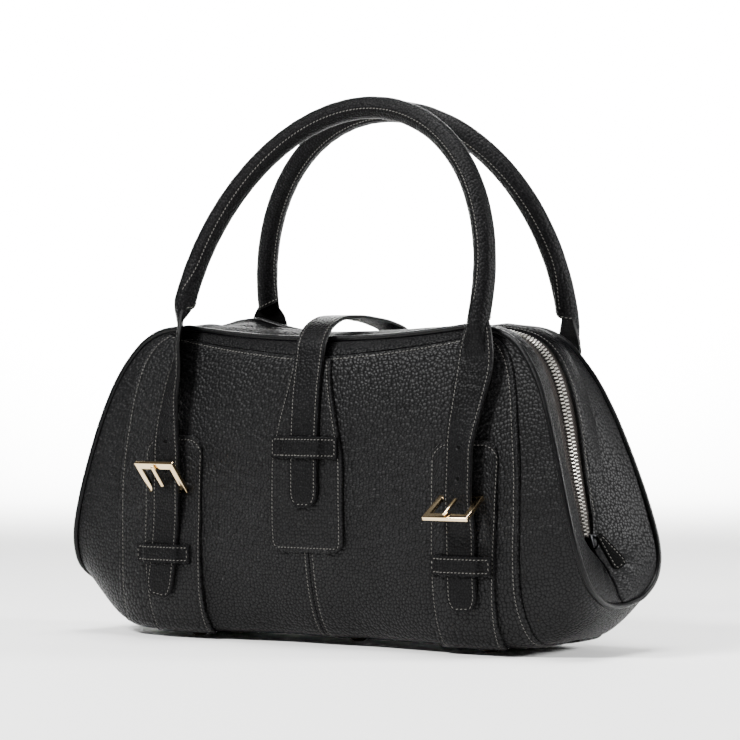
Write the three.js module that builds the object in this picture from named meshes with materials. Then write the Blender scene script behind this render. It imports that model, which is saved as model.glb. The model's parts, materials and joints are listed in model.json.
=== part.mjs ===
// A structured leather satchel: two sewn faces, concave zipped ends, rolled handles on buckled straps.
// Millimetres, +Z up, +X to the wearer's right of the front face, the front face towards -Y.
// The origin is on the ground under the middle of the base.
import * as THREE from 'three';
import { mergeVertices } from 'three/addons/utils/BufferGeometryUtils.js';

// Leather walls and the small clearance between sewn pieces
const WALL = 2;
const GAP = 0.3;
const FRONT = -1;
const BACK = 1;
const SIDES = [{ name: 'left', sign: -1 }, { name: 'right', sign: 1 }];
const FACES = [{ name: 'front', sign: FRONT }, { name: 'back', sign: BACK }];

// Sections of one face, from its top edge down and under to the middle of the base.
// centre: on the middle line; seam: the panel's side edge; edge: the piping; zip: the fold in the end that
// carries the zip; corner: how much the section has the rounded lift of the base's ends.
const SECTION_COLUMNS =
  ['centreY', 'centreZ', 'seamX', 'edgeX', 'edgeY', 'edgeZ', 'zipX', 'zipZ', 'corner'];
const SECTIONS = [
  [46, 206.5, 104, 110, 41, 214.5, 104, 215, 0],
  [49, 203, 124, 132, 41, 212, 123.5, 211.5, 0],
  [53, 197.5, 138, 147, 41.5, 205, 138, 205.5, 0],
  [57.5, 185, 147, 158, 43.5, 193.5, 149.5, 194, 0],
  [61, 165, 152.5, 168.5, 46.5, 177, 158, 177, 0],
  [63, 140, 156.5, 178, 50.5, 154, 164, 154, 0],
  [63.5, 112, 160, 187, 54, 126, 169, 126, 0],
  [63, 84, 161, 195, 56.5, 97, 175, 97, 0],
  [60.5, 57, 161, 201.5, 55.5, 70, 180.5, 72, 0.2],
  [55, 33, 162, 204.5, 47, 50, 192, 57, 0.6],
  [46.5, 15, 165, 204.5, 30, 38, 198.5, 46, 0.9],
  [35, 6.5, 168, 203, 13, 33.5, 201, 38.5, 1],
  [0, 5.5, 170, 202.5, 0, 32.5, 202, 34, 1],
];
const LAST_SECTION = SECTIONS.length - 1;
const BODY_MIDDLE = new THREE.Vector3(0, 0, 110);
const FACE_BOW = 1.6;
const BASE_BOW = 9;
const TOP_BOW = 2;
const BASE_FLAT = 140;
const BASE_LIFT_POWER = 3;
// The base is fuller under the patches than in its middle
const BASE_FULL = { depth: 9, from: 30, to: 110, until: 140 };

// The soft top corners have settled: how far two have moved sideways and the back left one is drawn up, from
// this height up
const SETTLED = {
  frontLeft: 3.5, backRight: 9, backLeftUp: 6, fromZ: 60, toZ: 190, cornerX: 110, cornerY: 41,
};

// Front panel: its top edge dips towards the middle, given in sections below the top edge
const PANEL_TOP_MIDDLE = 2.3;
const PANEL_TOP_SIDE = 1.15;
const PANEL_TOP_POWER = 1.3;
const PANEL_PROUD = 1;
const UNDER_PIPING = 0.9;
const FACING_CLEAR = 0.07;
const SEAM_GAP = 0.8;

// Section positions of the rows of facets along the panel's side seam, shared by panel and wing
const SEAM_STATIONS =
  [PANEL_TOP_SIDE, 1.4, 2, 3, 4, 5, 6, 7, 8, 9, 9.6, 10.2, 10.8, 11.4, LAST_SECTION - 0.04];

// Piping and the gusset beside it
const PIPING_RADIUS = 2;
const WING_FROM_PIPING = 3.3;
const GUSSET_FROM_PIPING = 3.2;
const GUSSET_PUFF = 2.5;
const GUSSET_END = 11;
const TOP_ZIP_Z = 211;

// Zip: the leather edges leave the chain and some tape in view, then close to a seam below the slider
const ZIP_EDGE = 5.2;
const ZIP_SEAM_EDGE = 0.3;
const ZIP_CLOSES = { from: 8.55, to: 8.95 };
const ZIP_STOP = 8.05;
const ZIP_STEPS = 44;
const TAPE = { halfWidth: 9, thick: 0.8, under: 0.6 };
const CHAIN = { halfWidth: 3, thick: 2.6 };
const SLIDER = { width: 9, length: 11, thick: 4.5, bevel: 0.8, section: 8.2, lift: 1.5 };
const PULL = { length: 30, neck: 2.6, wide: 6.2, thick: 2.4, drop: 22, back: 17, out: 17, hang: 2 };

// Rolled handles: half an ellipse leaning in towards each other, each swayed a little to one side
const GRIP = {
  radius: 7.5, sides: 10, steps: 22, foot: 217, spring: 222, rise: 141, footY: 53, topY: 18.5,
};
const GRIP_SWAY = {
  front: { halfSpan: 119.5, foot: 6.8, top: 19 },
  back: { halfSpan: 122, foot: 12.5, top: 10 },
};

// Handle straps: how far the strap's inner face stands off the face of the bag at each height, how far the
// handle pulls the strap sideways, and how far the front left one hangs askew
const STRAP = { halfWidth: 11.5, thick: 2.2, x: 121, steps: 24, tipHalf: 3 };
const STRAP_COLUMNS = ['z', 'stand', 'shift', 'askew'];
const STRAP_ROWS = [
  [215.7, 10.2, 7, 0],
  [205, 10.5, 7, 0.7],
  [190, 8.8, 6, 2],
  [165, 8.9, 3, 4.5],
  [140, 8.8, 0, 7],
  [120, 8.8, 0, 8],
  [103, 8.7, 0, 8],
  [88, 6.4, 0, 6.5],
  [66, 4.2, 0, 4.2],
  [50, 4.4, 0.5, 1.8],
  [29, 5.6, 1, -2.5],
];
const ASKEW = { place: 'front_left', patch: 9.5 };
const PATCH = { halfWidth: 24, top: 140.5, corner: 12, endSection: 10.3, low: 1.8, high: 3.6 };
const KEEPER = { halfWidth: 22.6, low: 53, high: 65.5, thick: 1.8, foot: 4, arch: 7.3, flat: 13, ramp: 17.5 };

// Buckles: a square frame on a hinge bar between patch and strap; each hangs at its own tilt
const BUCKLE = {
  halfWidth: 16.5, length: 27, arm: 4, outerBar: 5.4, hingeBar: 3, thick: 3, z: 103, stand: 5.85, corner: 1.2,
};
const BUCKLE_TILTS = { front_left: 49, front_right: -30, back_left: -34, back_right: -40 };
const PRONG = { radius: 1.4, sides: 8, from: 9.5, to: 27.5 };

// Closing strap: sewn on the back, arched over the zip, down through a loop on the front tab
const CLOSING = {
  halfWidth: 11.5, thick: 2.2, tip: 93.6, tipHalf: 3, steps: 36, faceSteps: 6, tabStand: 4.3, backStand: 1.6,
  backEnd: 142,
};
// Middle line of the arch, front to back: depth y and height z
const CLOSING_ARCH = [
  [-60, 193], [-57.5, 203], [-51, 212], [-38, 218.5], [-18, 220.7],
  [5, 219.5], [28, 216.5], [46, 211], [55, 203], [60, 191],
];
const TAB_COLUMNS = ['z', 'halfWidth'];
const TAB_ROWS = [
  [192, 15.5], [176, 18], [160, 21.8], [142, 26], [126, 29], [100, 29.5], [76, 29.5], [68, 28.2], [64, 22],
];
const LOOP = { halfWidth: 26.4, low: 126.5, high: 141, thick: 1.8, foot: 4, arch: 7.3, flat: 13, ramp: 18 };
const RIVET = { radius: 3, height: 1.2, places: [-21, -4] };

// Feet: four near the corners of the base and one in the middle
const FOOT = { radius: 6, flat: 3.6, neck: 4.6, x: 118, y: 22 };

const LOOKS = {
  grain: { color: 0x262627, roughness: 0.55, metalness: 0 },
  smooth: { color: 0x2c2c2e, roughness: 0.5, metalness: 0 },
  tape: { color: 0x141313, roughness: 0.85, metalness: 0 },
  silver: { color: 0xc9c8c6, roughness: 0.25, metalness: 1 },
  gold: { color: 0xe3cda4, roughness: 0.2, metalness: 1 },
  feet: { color: 0x8d7c6c, roughness: 0.3, metalness: 1 },
};

const bag = new THREE.Group();

const mix = (from, to, share) => from + (to - from) * share;
const clamp01 = (value) => Math.min(1, Math.max(0, value));
const smooth = (share) => clamp01(share) ** 2 * (3 - 2 * clamp01(share));

/** Smooth value of one named column of a table at a row position, which may lie between rows. */
function tableValue(table, columns, name, position) {
  const column = columns.indexOf(name);
  const row = Math.min(table.length - 2, Math.max(0, Math.floor(position)));
  const share = position - row;
  const at = (index) => table[Math.min(table.length - 1, Math.max(0, index))][column];
  const [p0, p1, p2, p3] = [at(row - 1), at(row), at(row + 1), at(row + 2)];
  const slope1 = (p2 - p0) / 2;
  const slope2 = (p3 - p1) / 2;
  const s2 = share * share;
  const s3 = s2 * share;
  return (2 * s3 - 3 * s2 + 1) * p1 + (s3 - 2 * s2 + share) * slope1
    + (3 * s2 - 2 * s3) * p2 + (s3 - s2) * slope2;
}

const section = (name, v) => tableValue(SECTIONS, SECTION_COLUMNS, name, v);

/** Lift of a section towards its ends, from 0 in the middle to 1 at the piping. */
function endLift(x, v) {
  const edgeX = section('edgeX', v);
  const span = Math.abs(x);
  const bowed = clamp01(span / edgeX) ** TOP_BOW;
  const rounded = clamp01((span - BASE_FLAT) / (edgeX - BASE_FLAT)) ** BASE_LIFT_POWER;
  return mix(bowed, rounded, clamp01(section('corner', v)));
}

/** Point of the body's skin at width x on section v of the front or the back. */
function body(face, x, v) {
  const edgeX = section('edgeX', v);
  const span = Math.abs(x);
  const corner = clamp01(section('corner', v));
  const bow = mix(FACE_BOW, BASE_BOW, corner);
  const full = smooth((span - BASE_FULL.from) / (BASE_FULL.to - BASE_FULL.from))
    * (1 - smooth((span - BASE_FULL.until) / (edgeX - BASE_FULL.until)));
  const y = mix(section('centreY', v), section('edgeY', v), clamp01(span / edgeX) ** bow)
    + BASE_FULL.depth * corner * full;
  const z = mix(section('centreZ', v), section('edgeZ', v), endLift(x, v));
  return new THREE.Vector3(x, face * y, z);
}

/** Section position of the height z at width x. */
function level(x, z) {
  let high = 0;
  let low = LAST_SECTION;
  for (let step = 0; step < 30; step += 1) {
    const middle = (high + low) / 2;
    if (body(FRONT, x, middle).z > z) high = middle;
    else low = middle;
  }
  return (high + low) / 2;
}

/** Unit normal of a surface given over [0,1] x [0,1], pointing away from the middle of the bag. */
function outward(surface, a, b) {
  const step = 1e-3;
  const across = surface(Math.min(1, a + step), b).sub(surface(Math.max(0, a - step), b));
  const along = surface(a, Math.min(1, b + step)).sub(surface(a, Math.max(0, b - step)));
  const normal = across.cross(along).normalize();
  const out = surface(a, b).sub(BODY_MIDDLE);
  return normal.dot(out) < 0 ? normal.negate() : normal;
}

/** Closed solid from a list of vertices and triangles, with its faces turned outwards. */
function closedSolid(points, triangles) {
  let volume = 0;
  for (const [i, j, k] of triangles) {
    volume += points[i].dot(points[j].clone().cross(points[k]));
  }
  const index = triangles.flatMap(([i, j, k]) => (volume < 0 ? [i, k, j] : [i, j, k]));
  const geometry = new THREE.BufferGeometry();
  geometry.setAttribute('position', new THREE.Float32BufferAttribute(points.flatMap((p) => p.toArray()), 3));
  geometry.setIndex(index);
  return geometry;
}

/** A wall over a surface: its skins are moved out by outer(a, b) and inner(a, b), and closed all round. */
function wall(surface, nAcross, nAlong, outer, inner) {
  const points = [];
  const triangles = [];
  const layers = [outer, inner];
  const at = (layer, i, j) => (layer * (nAcross + 1) + i) * (nAlong + 1) + j;
  for (const offset of layers) {
    for (let i = 0; i <= nAcross; i += 1) {
      for (let j = 0; j <= nAlong; j += 1) {
        const a = i / nAcross;
        const b = j / nAlong;
        points.push(surface(a, b).addScaledVector(outward(surface, a, b), offset(a, b)));
      }
    }
  }
  const quad = (p, q, r, s) => triangles.push([p, q, r], [p, r, s]);
  for (let i = 0; i < nAcross; i += 1) {
    for (let j = 0; j < nAlong; j += 1) {
      quad(at(0, i, j), at(0, i + 1, j), at(0, i + 1, j + 1), at(0, i, j + 1));
      quad(at(1, i, j), at(1, i, j + 1), at(1, i + 1, j + 1), at(1, i + 1, j));
    }
  }
  for (let i = 0; i < nAcross; i += 1) {
    quad(at(0, i, 0), at(1, i, 0), at(1, i + 1, 0), at(0, i + 1, 0));
    quad(at(0, i, nAlong), at(0, i + 1, nAlong), at(1, i + 1, nAlong), at(1, i, nAlong));
  }
  for (let j = 0; j < nAlong; j += 1) {
    quad(at(0, 0, j), at(0, 0, j + 1), at(1, 0, j + 1), at(1, 0, j));
    quad(at(0, nAcross, j), at(1, nAcross, j), at(1, nAcross, j + 1), at(0, nAcross, j + 1));
  }
  return closedSolid(points, triangles);
}

/** A round tube along a list of points, closed into a ring or capped at both ends. */
function tube(path, radius, sides, ring) {
  const count = path.length;
  const points = [];
  const triangles = [];
  const step = (index) => (ring ? (index + count) % count : Math.min(count - 1, Math.max(0, index)));
  let side = new THREE.Vector3(0, 1, 0.1);
  path.forEach((centre, i) => {
    const along = path[step(i + 1)].clone().sub(path[step(i - 1)]).normalize();
    side = side.addScaledVector(along, -side.dot(along)).normalize();
    const other = along.clone().cross(side);
    for (let k = 0; k < sides; k += 1) {
      const angle = (2 * Math.PI * k) / sides;
      points.push(centre.clone().addScaledVector(side, radius * Math.cos(angle))
        .addScaledVector(other, radius * Math.sin(angle)));
    }
  });
  const at = (i, k) => step(i) * sides + (k % sides);
  for (let i = 0; i < (ring ? count : count - 1); i += 1) {
    for (let k = 0; k < sides; k += 1) {
      triangles.push([at(i, k), at(i + 1, k), at(i + 1, k + 1)], [at(i, k), at(i + 1, k + 1), at(i, k + 1)]);
    }
  }
  if (!ring) {
    for (let k = 1; k < sides - 1; k += 1) {
      triangles.push([at(0, 0), at(0, k), at(0, k + 1)]);
      triangles.push([at(count - 1, 0), at(count - 1, k + 1), at(count - 1, k)]);
    }
  }
  return closedSolid(points, triangles);
}

/** Moves the soft top corners of a body piece: front left and back right sideways, back left upwards. */
function settled(geometry) {
  const places = geometry.getAttribute('position');
  for (let i = 0; i < places.count; i += 1) {
    const [x, y, z] = [places.getX(i), places.getY(i), places.getZ(i)];
    const height = clamp01((z - SETTLED.fromZ) / (SETTLED.toZ - SETTLED.fromZ));
    const corner = (x * y) / (SETTLED.cornerX * SETTLED.cornerY);
    const aside = height * clamp01(corner) ** 2;
    places.setX(i, x - (y < 0 ? SETTLED.frontLeft : SETTLED.backRight) * aside);
    if (y > 0) places.setZ(i, z + SETTLED.backLeftUp * height * clamp01(-corner) ** 4);
  }
  return geometry;
}

/** Adds one named piece to the bag and returns its mesh. */
function addPiece(name, geometry, look) {
  const mesh = new THREE.Mesh(geometry, new THREE.MeshStandardMaterial(LOOKS[look]));
  mesh.name = name;
  bag.add(mesh);
  return mesh;
}

const evenly = (offset) => () => offset;

// Faces of the body
function panelTop(share) {
  return mix(PANEL_TOP_MIDDLE, PANEL_TOP_SIDE, Math.abs(share) ** PANEL_TOP_POWER);
}

/** Value of a list at a share of its length, straight between its entries. */
function along(list, share) {
  const position = share * (list.length - 1);
  const index = Math.min(list.length - 2, Math.floor(position));
  return mix(list[index], list[index + 1], position - index);
}

function addPanels() {
  const first = SEAM_STATIONS[0];
  const last = SEAM_STATIONS.at(-1);
  for (const face of FACES) {
    for (const side of SIDES) {
      const surface = (a, b) => {
        const v = mix(panelTop(a), last, (along(SEAM_STATIONS, b) - first) / (last - first));
        return body(face.sign, side.sign * mix(GAP / 2, section('seamX', v) - SEAM_GAP / 2, a), v);
      };
      const rows = SEAM_STATIONS.length - 1;
      const panel = wall(surface, 7, rows, evenly(PANEL_PROUD), evenly(PANEL_PROUD - WALL));
      addPiece(`${face.name}_panel_${side.name}`, settled(panel), 'grain');
    }
    const facing = (a, b) => {
      const share = 2 * a - 1;
      const v = mix(UNDER_PIPING, panelTop(share) - FACING_CLEAR, b);
      return body(face.sign, share * (section('seamX', v) - GAP), v);
    };
    addPiece(`${face.name}_facing`, settled(wall(facing, 16, 1, evenly(0), evenly(-WALL))), 'smooth');
  }
}

/** Width at which the wing stops short of the piping, square to the piping's run. */
function wingEdge(v) {
  const step = 0.05;
  const edgeX = section('edgeX', v);
  const place = (at) => body(FRONT, section('edgeX', at), at);
  const run = place(v + step).sub(place(v - step)).normalize();
  const row = body(FRONT, edgeX, v).sub(body(FRONT, edgeX - 1, v)).normalize();
  return edgeX - WING_FROM_PIPING / run.cross(row).length();
}

function addWings() {
  const down = [...SEAM_STATIONS.slice(0, -1), LAST_SECTION];
  for (const side of SIDES) {
    const surface = (a, b) => {
      const v = along(down, 1 - Math.abs(2 * b - 1));
      const x = mix(section('seamX', v) + SEAM_GAP / 2, wingEdge(v), a);
      return body(b <= 0.5 ? FRONT : BACK, side.sign * x, v);
    };
    const wing = wall(surface, 4, 2 * (down.length - 1), evenly(0), evenly(-WALL));
    addPiece(`wing_${side.name}`, settled(wing), 'smooth');
  }
}

// Rim of the gusset at station k: 0 in the middle of the top, 1 where the ends begin to turn down, then one
// station for each section of the end. Negative stations are on the left.
const RIM_END = 1 + GUSSET_END;

function rim(face, k) {
  const station = Math.abs(k);
  const side = Math.sign(k) || 1;
  if (station < 1) {
    const edgeX = station * section('edgeX', 0);
    return {
      edge: body(face, side * edgeX, 0),
      zip: new THREE.Vector3(side * station * section('zipX', 0), 0,
        mix(TOP_ZIP_Z, section('zipZ', 0), station * station)),
    };
  }
  const v = station - 1;
  return {
    edge: new THREE.Vector3(side * section('edgeX', v), face * section('edgeY', v), section('edgeZ', v)),
    zip: new THREE.Vector3(side * section('zipX', v), 0, section('zipZ', v)),
  };
}

/** Station spacing that gives the top of the bag more of the steps than its one section unit. */
function rimStation(share, end) {
  const topShare = 0.4;
  const signed = 2 * share - 1;
  const size = Math.abs(signed);
  const station = size < topShare ? size / topShare : 1 + ((size - topShare) / (1 - topShare)) * (end - 1);
  return Math.sign(signed) * station;
}

function addPiping() {
  const path = [];
  const steps = 40;
  for (const face of FACES) {
    for (let i = 0; i < steps; i += 1) {
      const share = face.sign === FRONT ? i / steps : 1 - i / steps;
      path.push(rim(face.sign, rimStation(share, 1 + LAST_SECTION)).edge);
    }
  }
  addPiece('piping', settled(tube(path, PIPING_RADIUS, 6, true)), 'smooth');
}

function zipOpening(v) {
  const closed = clamp01((v - ZIP_CLOSES.from) / (ZIP_CLOSES.to - ZIP_CLOSES.from));
  return mix(ZIP_EDGE, ZIP_SEAM_EDGE, closed);
}

function addGussets() {
  for (const face of FACES) {
    const surface = (a, b) => {
      const k = rimStation(b, RIM_END);
      const { edge, zip } = rim(face.sign, k);
      const inner = zip.clone().setY(face.sign * zipOpening(Math.abs(k) - 1));
      const step = 0.05;
      const run = rim(face.sign, k + step).edge.sub(rim(face.sign, k - step).edge).normalize();
      const square = inner.clone().sub(edge).cross(run).length();
      return edge.lerp(inner, mix(GUSSET_FROM_PIPING / square, 1, a));
    };
    const puff = (a) => GUSSET_PUFF * Math.sin(Math.PI * a);
    const gusset = wall(surface, 3, 46, puff, (a) => puff(a) - WALL);
    addPiece(`gusset_${face.name}`, settled(gusset), 'grain');
  }
}

// Zip
function addZip() {
  const end = 1 + ZIP_STOP;
  const strip = (halfWidth) => (a, b) => rim(FRONT, rimStation(b, end)).zip.setY((2 * a - 1) * halfWidth);
  const tapeTop = -WALL - TAPE.under;
  const tape = wall(strip(TAPE.halfWidth), 1, ZIP_STEPS, evenly(tapeTop), evenly(tapeTop - TAPE.thick));
  addPiece('zip_tape', settled(tape), 'tape');
  const chainLow = tapeTop + GAP;
  const chain = wall(strip(CHAIN.halfWidth), 1, ZIP_STEPS, evenly(chainLow + CHAIN.thick), evenly(chainLow));
  addPiece('zip_chain', settled(chain), 'silver');
  for (const side of SIDES) {
    addZipEnd(side);
  }
}

function addZipEnd(side) {
  const v = SLIDER.section;
  const seat = new THREE.Vector3(section('zipX', v), 0, section('zipZ', v));
  const above = new THREE.Vector3(section('zipX', v - 0.3), 0, section('zipZ', v - 0.3));
  const slope = Math.atan2(seat.x - above.x, above.z - seat.z);
  const outline = new THREE.Shape();
  outline.moveTo(-SLIDER.width / 2, SLIDER.length / 2);
  outline.lineTo(SLIDER.width / 2, SLIDER.length / 2);
  outline.lineTo(SLIDER.width / 3, -SLIDER.length / 2);
  outline.lineTo(-SLIDER.width / 3, -SLIDER.length / 2);
  outline.closePath();
  const geometry = new THREE.ExtrudeGeometry(outline, {
    depth: SLIDER.thick - 2 * SLIDER.bevel, bevelEnabled: true, bevelThickness: SLIDER.bevel,
    bevelSize: SLIDER.bevel, bevelOffset: -SLIDER.bevel, bevelSegments: 1,
  });
  const slider = addPiece(`zip_slider_${side.name}`, prepared(geometry), 'silver');
  const axes = new THREE.Matrix4().makeBasis(
    new THREE.Vector3(0, side.sign, 0),
    new THREE.Vector3(-side.sign * Math.sin(slope), 0, Math.cos(slope)),
    new THREE.Vector3(side.sign * Math.cos(slope), 0, Math.sin(slope)),
  );
  slider.quaternion.setFromRotationMatrix(axes);
  slider.position.set(side.sign * (seat.x + SLIDER.lift), 0, seat.z);

  const clear = SLIDER.lift + SLIDER.thick + GAP + PULL.thick;
  const top = new THREE.Vector3(side.sign * (seat.x + clear), PULL.hang, seat.z - PULL.hang);
  const reach = new THREE.Vector3(side.sign * PULL.out, PULL.back, -PULL.drop).normalize();
  const flat = new THREE.Vector3(side.sign, 0, 0).addScaledVector(reach, -side.sign * reach.x).normalize();
  const across = reach.clone().cross(flat).normalize();
  const pull = (a, b) => {
    const round = Math.sqrt(1 - clamp01((b - 0.82) / 0.2) ** 2);
    const half = mix(PULL.neck, PULL.wide, b ** 0.8) * round;
    return top.clone().addScaledVector(reach, b * PULL.length).addScaledVector(across, (2 * a - 1) * half);
  };
  const leather = wall(pull, 2, 10, evenly(PULL.thick / 2), evenly(-PULL.thick / 2));
  addPiece(`zip_pull_${side.name}`, leather, 'smooth');
}

/** Keeps only shared positions, so that a built-in shape is one closed body. */
function prepared(geometry) {
  geometry.deleteAttribute('normal');
  geometry.deleteAttribute('uv');
  return mergeVertices(geometry, 1e-3);
}

// Handles
function gripPath(face) {
  const path = [];
  const sway = GRIP_SWAY[face.name];
  const place = (angle, straight) => {
    const z = GRIP.spring + GRIP.rise * Math.sin(angle) - straight;
    const share = (z - GRIP.foot) / (GRIP.spring + GRIP.rise - GRIP.foot);
    const x = -sway.halfSpan * Math.cos(angle) + mix(sway.foot, sway.top, share);
    return new THREE.Vector3(x, face.sign * mix(GRIP.footY, GRIP.topY, share), z);
  };
  path.push(place(0, GRIP.spring - GRIP.foot));
  for (let i = 0; i <= GRIP.steps; i += 1) {
    path.push(place((Math.PI * i) / GRIP.steps, 0));
  }
  path.push(place(Math.PI, GRIP.spring - GRIP.foot));
  return path;
}

/** How far the strap of one place hangs askew at the height z. */
function askew(place, z) {
  if (place !== ASKEW.place) return 0;
  let high = 0;
  let low = STRAP_ROWS.length - 1;
  for (let step = 0; step < 30; step += 1) {
    const middle = (high + low) / 2;
    if (tableValue(STRAP_ROWS, STRAP_COLUMNS, 'z', middle) > z) high = middle;
    else low = middle;
  }
  return tableValue(STRAP_ROWS, STRAP_COLUMNS, 'askew', low);
}

/** Point on a handle strap's inner face: b runs from the grip down to the tip. */
function strapPoint(face, place, x, b) {
  const row = b * (STRAP_ROWS.length - 1);
  const z = tableValue(STRAP_ROWS, STRAP_COLUMNS, 'z', row);
  const stand = tableValue(STRAP_ROWS, STRAP_COLUMNS, 'stand', row);
  const pulled = x + tableValue(STRAP_ROWS, STRAP_COLUMNS, 'shift', row) + askew(place, z);
  const y = Math.abs(body(face, pulled, level(pulled, z)).y) + stand;
  return new THREE.Vector3(pulled, face * y, z);
}

function tipWidth(halfWidth, tipHalf, fromTip) {
  const share = clamp01(fromTip / halfWidth);
  return mix(tipHalf, halfWidth, Math.sqrt(1 - (1 - share) ** 2));
}

function addHandles() {
  for (const face of FACES) {
    addPiece(`grip_${face.name}`, tube(gripPath(face), GRIP.radius, GRIP.sides, false), 'smooth');
    for (const side of SIDES) {
      addStrapSet(face, side);
    }
  }
}

function addStrapSet(face, side) {
  const place = `${face.name}_${side.name}`;
  const x0 = side.sign * STRAP.x;
  const lastDrop = STRAP_ROWS.at(-2)[0] - STRAP_ROWS.at(-1)[0];
  const strap = (a, b) => {
    const fromTip = (1 - b) * (STRAP_ROWS.length - 1) * lastDrop;
    const half = tipWidth(STRAP.halfWidth, STRAP.tipHalf, fromTip);
    return strapPoint(face.sign, place, x0 + (2 * a - 1) * half, b);
  };
  addPiece(`strap_${place}`, wall(strap, 1, STRAP.steps, evenly(STRAP.thick), evenly(0)), 'smooth');

  const patchX = x0 + (place === ASKEW.place ? ASKEW.patch : 0);
  const patch = (a, b) => {
    const dx = (2 * a - 1) * PATCH.halfWidth;
    const inCorner = Math.max(0, Math.abs(dx) - (PATCH.halfWidth - PATCH.corner));
    const dip = PATCH.corner - Math.sqrt(PATCH.corner ** 2 - inCorner ** 2);
    const v = mix(level(patchX + dx, PATCH.top - dip), PATCH.endSection, b);
    return body(face.sign, patchX + dx, v);
  };
  addPiece(`patch_${place}`, wall(patch, 8, 9, evenly(PATCH.high), evenly(PATCH.low)), 'grain');

  const keeperX = x0 + askew(place, (KEEPER.low + KEEPER.high) / 2);
  addPiece(`keeper_${place}`, bridge(face.sign, keeperX, KEEPER), 'smooth');
  addBuckle(face, place, x0 + askew(place, BUCKLE.z));
}

/** A band sewn down at both ends that arches over a strap. */
function bridge(face, x0, size) {
  const stops = [-size.halfWidth, -size.ramp, -size.flat, 0, size.flat, size.ramp, size.halfWidth];
  const spread = (a) => along(stops, a);
  const surface = (a, b) => {
    const x = x0 + spread(a);
    return body(face, x, level(x, mix(size.high, size.low, b)));
  };
  const low = (a) => {
    const down = clamp01((Math.abs(spread(a)) - size.flat) / (size.ramp - size.flat));
    return mix(size.arch, size.foot, down);
  };
  return wall(surface, stops.length - 1, 2, (a) => low(a) + size.thick, low);
}

function roundedRect(path, left, right, low, high, radius) {
  path.moveTo(left + radius, low);
  path.lineTo(right - radius, low);
  path.lineTo(right, low + radius);
  path.lineTo(right, high - radius);
  path.lineTo(right - radius, high);
  path.lineTo(left + radius, high);
  path.lineTo(left, high - radius);
  path.lineTo(left, low + radius);
  path.closePath();
  return path;
}

function addBuckle(face, place, x0) {
  const { halfWidth, length, arm, outerBar, hingeBar, thick, corner } = BUCKLE;
  const low = -hingeBar / 2;
  const outline = roundedRect(new THREE.Shape(), -halfWidth, halfWidth, low, low + length, corner);
  outline.holes.push(roundedRect(new THREE.Path(), -halfWidth + arm, halfWidth - arm, low + hingeBar,
    low + length - outerBar, corner / 2));
  const frame = new THREE.ExtrudeGeometry(outline, { depth: thick, bevelEnabled: false });
  frame.translate(0, 0, -thick / 2);
  const tilt = THREE.MathUtils.degToRad(BUCKLE_TILTS[place]);
  const onFace = (dx) => body(face.sign, x0 + dx, level(x0 + dx, BUCKLE.z));
  const across = onFace(halfWidth).sub(onFace(-halfWidth)).setZ(0).normalize();
  const out = new THREE.Vector3(across.y, -across.x, 0).multiplyScalar(-face.sign);
  const reach = out.multiplyScalar(Math.cos(tilt)).setZ(Math.sin(tilt));
  const lift = across.clone().cross(reach);
  const hinge = onFace(0);
  hinge.y += face.sign * BUCKLE.stand;
  const axes = new THREE.Matrix4().makeBasis(across, reach, lift);
  const mesh = addPiece(`buckle_${place}`, prepared(frame), 'gold');
  mesh.quaternion.setFromRotationMatrix(axes);
  mesh.position.copy(hinge);

  const above = Math.sign(lift.y * face.sign) * (thick / 2 + GAP + PRONG.radius);
  const prongPath = [PRONG.from, PRONG.to].map((along) => hinge.clone()
    .addScaledVector(reach, along - hingeBar).addScaledVector(lift, above));
  addPiece(`prong_${place}`, tube(prongPath, PRONG.radius, PRONG.sides, false), 'gold');
}

// Closing strap and its tab
function closingPath() {
  const points = [];
  const { faceSteps } = CLOSING;
  const frontTop = CLOSING_ARCH[0][1];
  for (let i = 0; i <= faceSteps; i += 1) {
    const z = mix(CLOSING.tip, frontTop, i / (faceSteps + 1));
    points.push(body(FRONT, 0, level(0, z)).add(new THREE.Vector3(0, -CLOSING.tabStand, 0)));
  }
  for (const [y, z] of CLOSING_ARCH) {
    points.push(new THREE.Vector3(0, y, z));
  }
  const backTop = CLOSING_ARCH.at(-1)[1];
  for (let i = 1; i <= faceSteps / 2; i += 1) {
    const z = mix(backTop, CLOSING.backEnd, i / (faceSteps / 2));
    points.push(body(BACK, 0, level(0, z)).add(new THREE.Vector3(0, CLOSING.backStand, 0)));
  }
  return new THREE.CatmullRomCurve3(points, false, 'chordal');
}

function addClosing() {
  const path = closingPath();
  const length = path.getLength();
  const strap = (a, b) => {
    const half = tipWidth(CLOSING.halfWidth, CLOSING.tipHalf, b * length);
    return path.getPointAt(b).setX((2 * a - 1) * half);
  };
  addPiece('closing_strap', wall(strap, 1, CLOSING.steps, evenly(CLOSING.thick), evenly(0)), 'smooth');

  const tab = (a, b) => {
    const row = b * (TAB_ROWS.length - 1);
    const x = (2 * a - 1) * tableValue(TAB_ROWS, TAB_COLUMNS, 'halfWidth', row);
    return body(FRONT, x, level(x, tableValue(TAB_ROWS, TAB_COLUMNS, 'z', row)));
  };
  addPiece('closing_tab', wall(tab, 4, 12, evenly(PATCH.high), evenly(PATCH.low)), 'smooth');
  addPiece('closing_loop', bridge(FRONT, 0, LOOP), 'smooth');

  RIVET.places.forEach((y, index) => {
    const profile = [[0, -RIVET.height], [RIVET.radius * 0.8, -RIVET.height], [RIVET.radius, 0], [0, 0]];
    const head = new THREE.LatheGeometry(profile.map(([r, h]) => new THREE.Vector2(r, h)), 10);
    const under = closestOnPath(path, y);
    const mesh = addPiece(`strap_rivet_${index + 1}`, prepared(head), 'silver');
    const down = new THREE.Vector3(0, under.tangent.z, -under.tangent.y);
    mesh.quaternion.setFromUnitVectors(new THREE.Vector3(0, -1, 0), down);
    mesh.position.copy(under.point).addScaledVector(down, GAP);
  });
}

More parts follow.
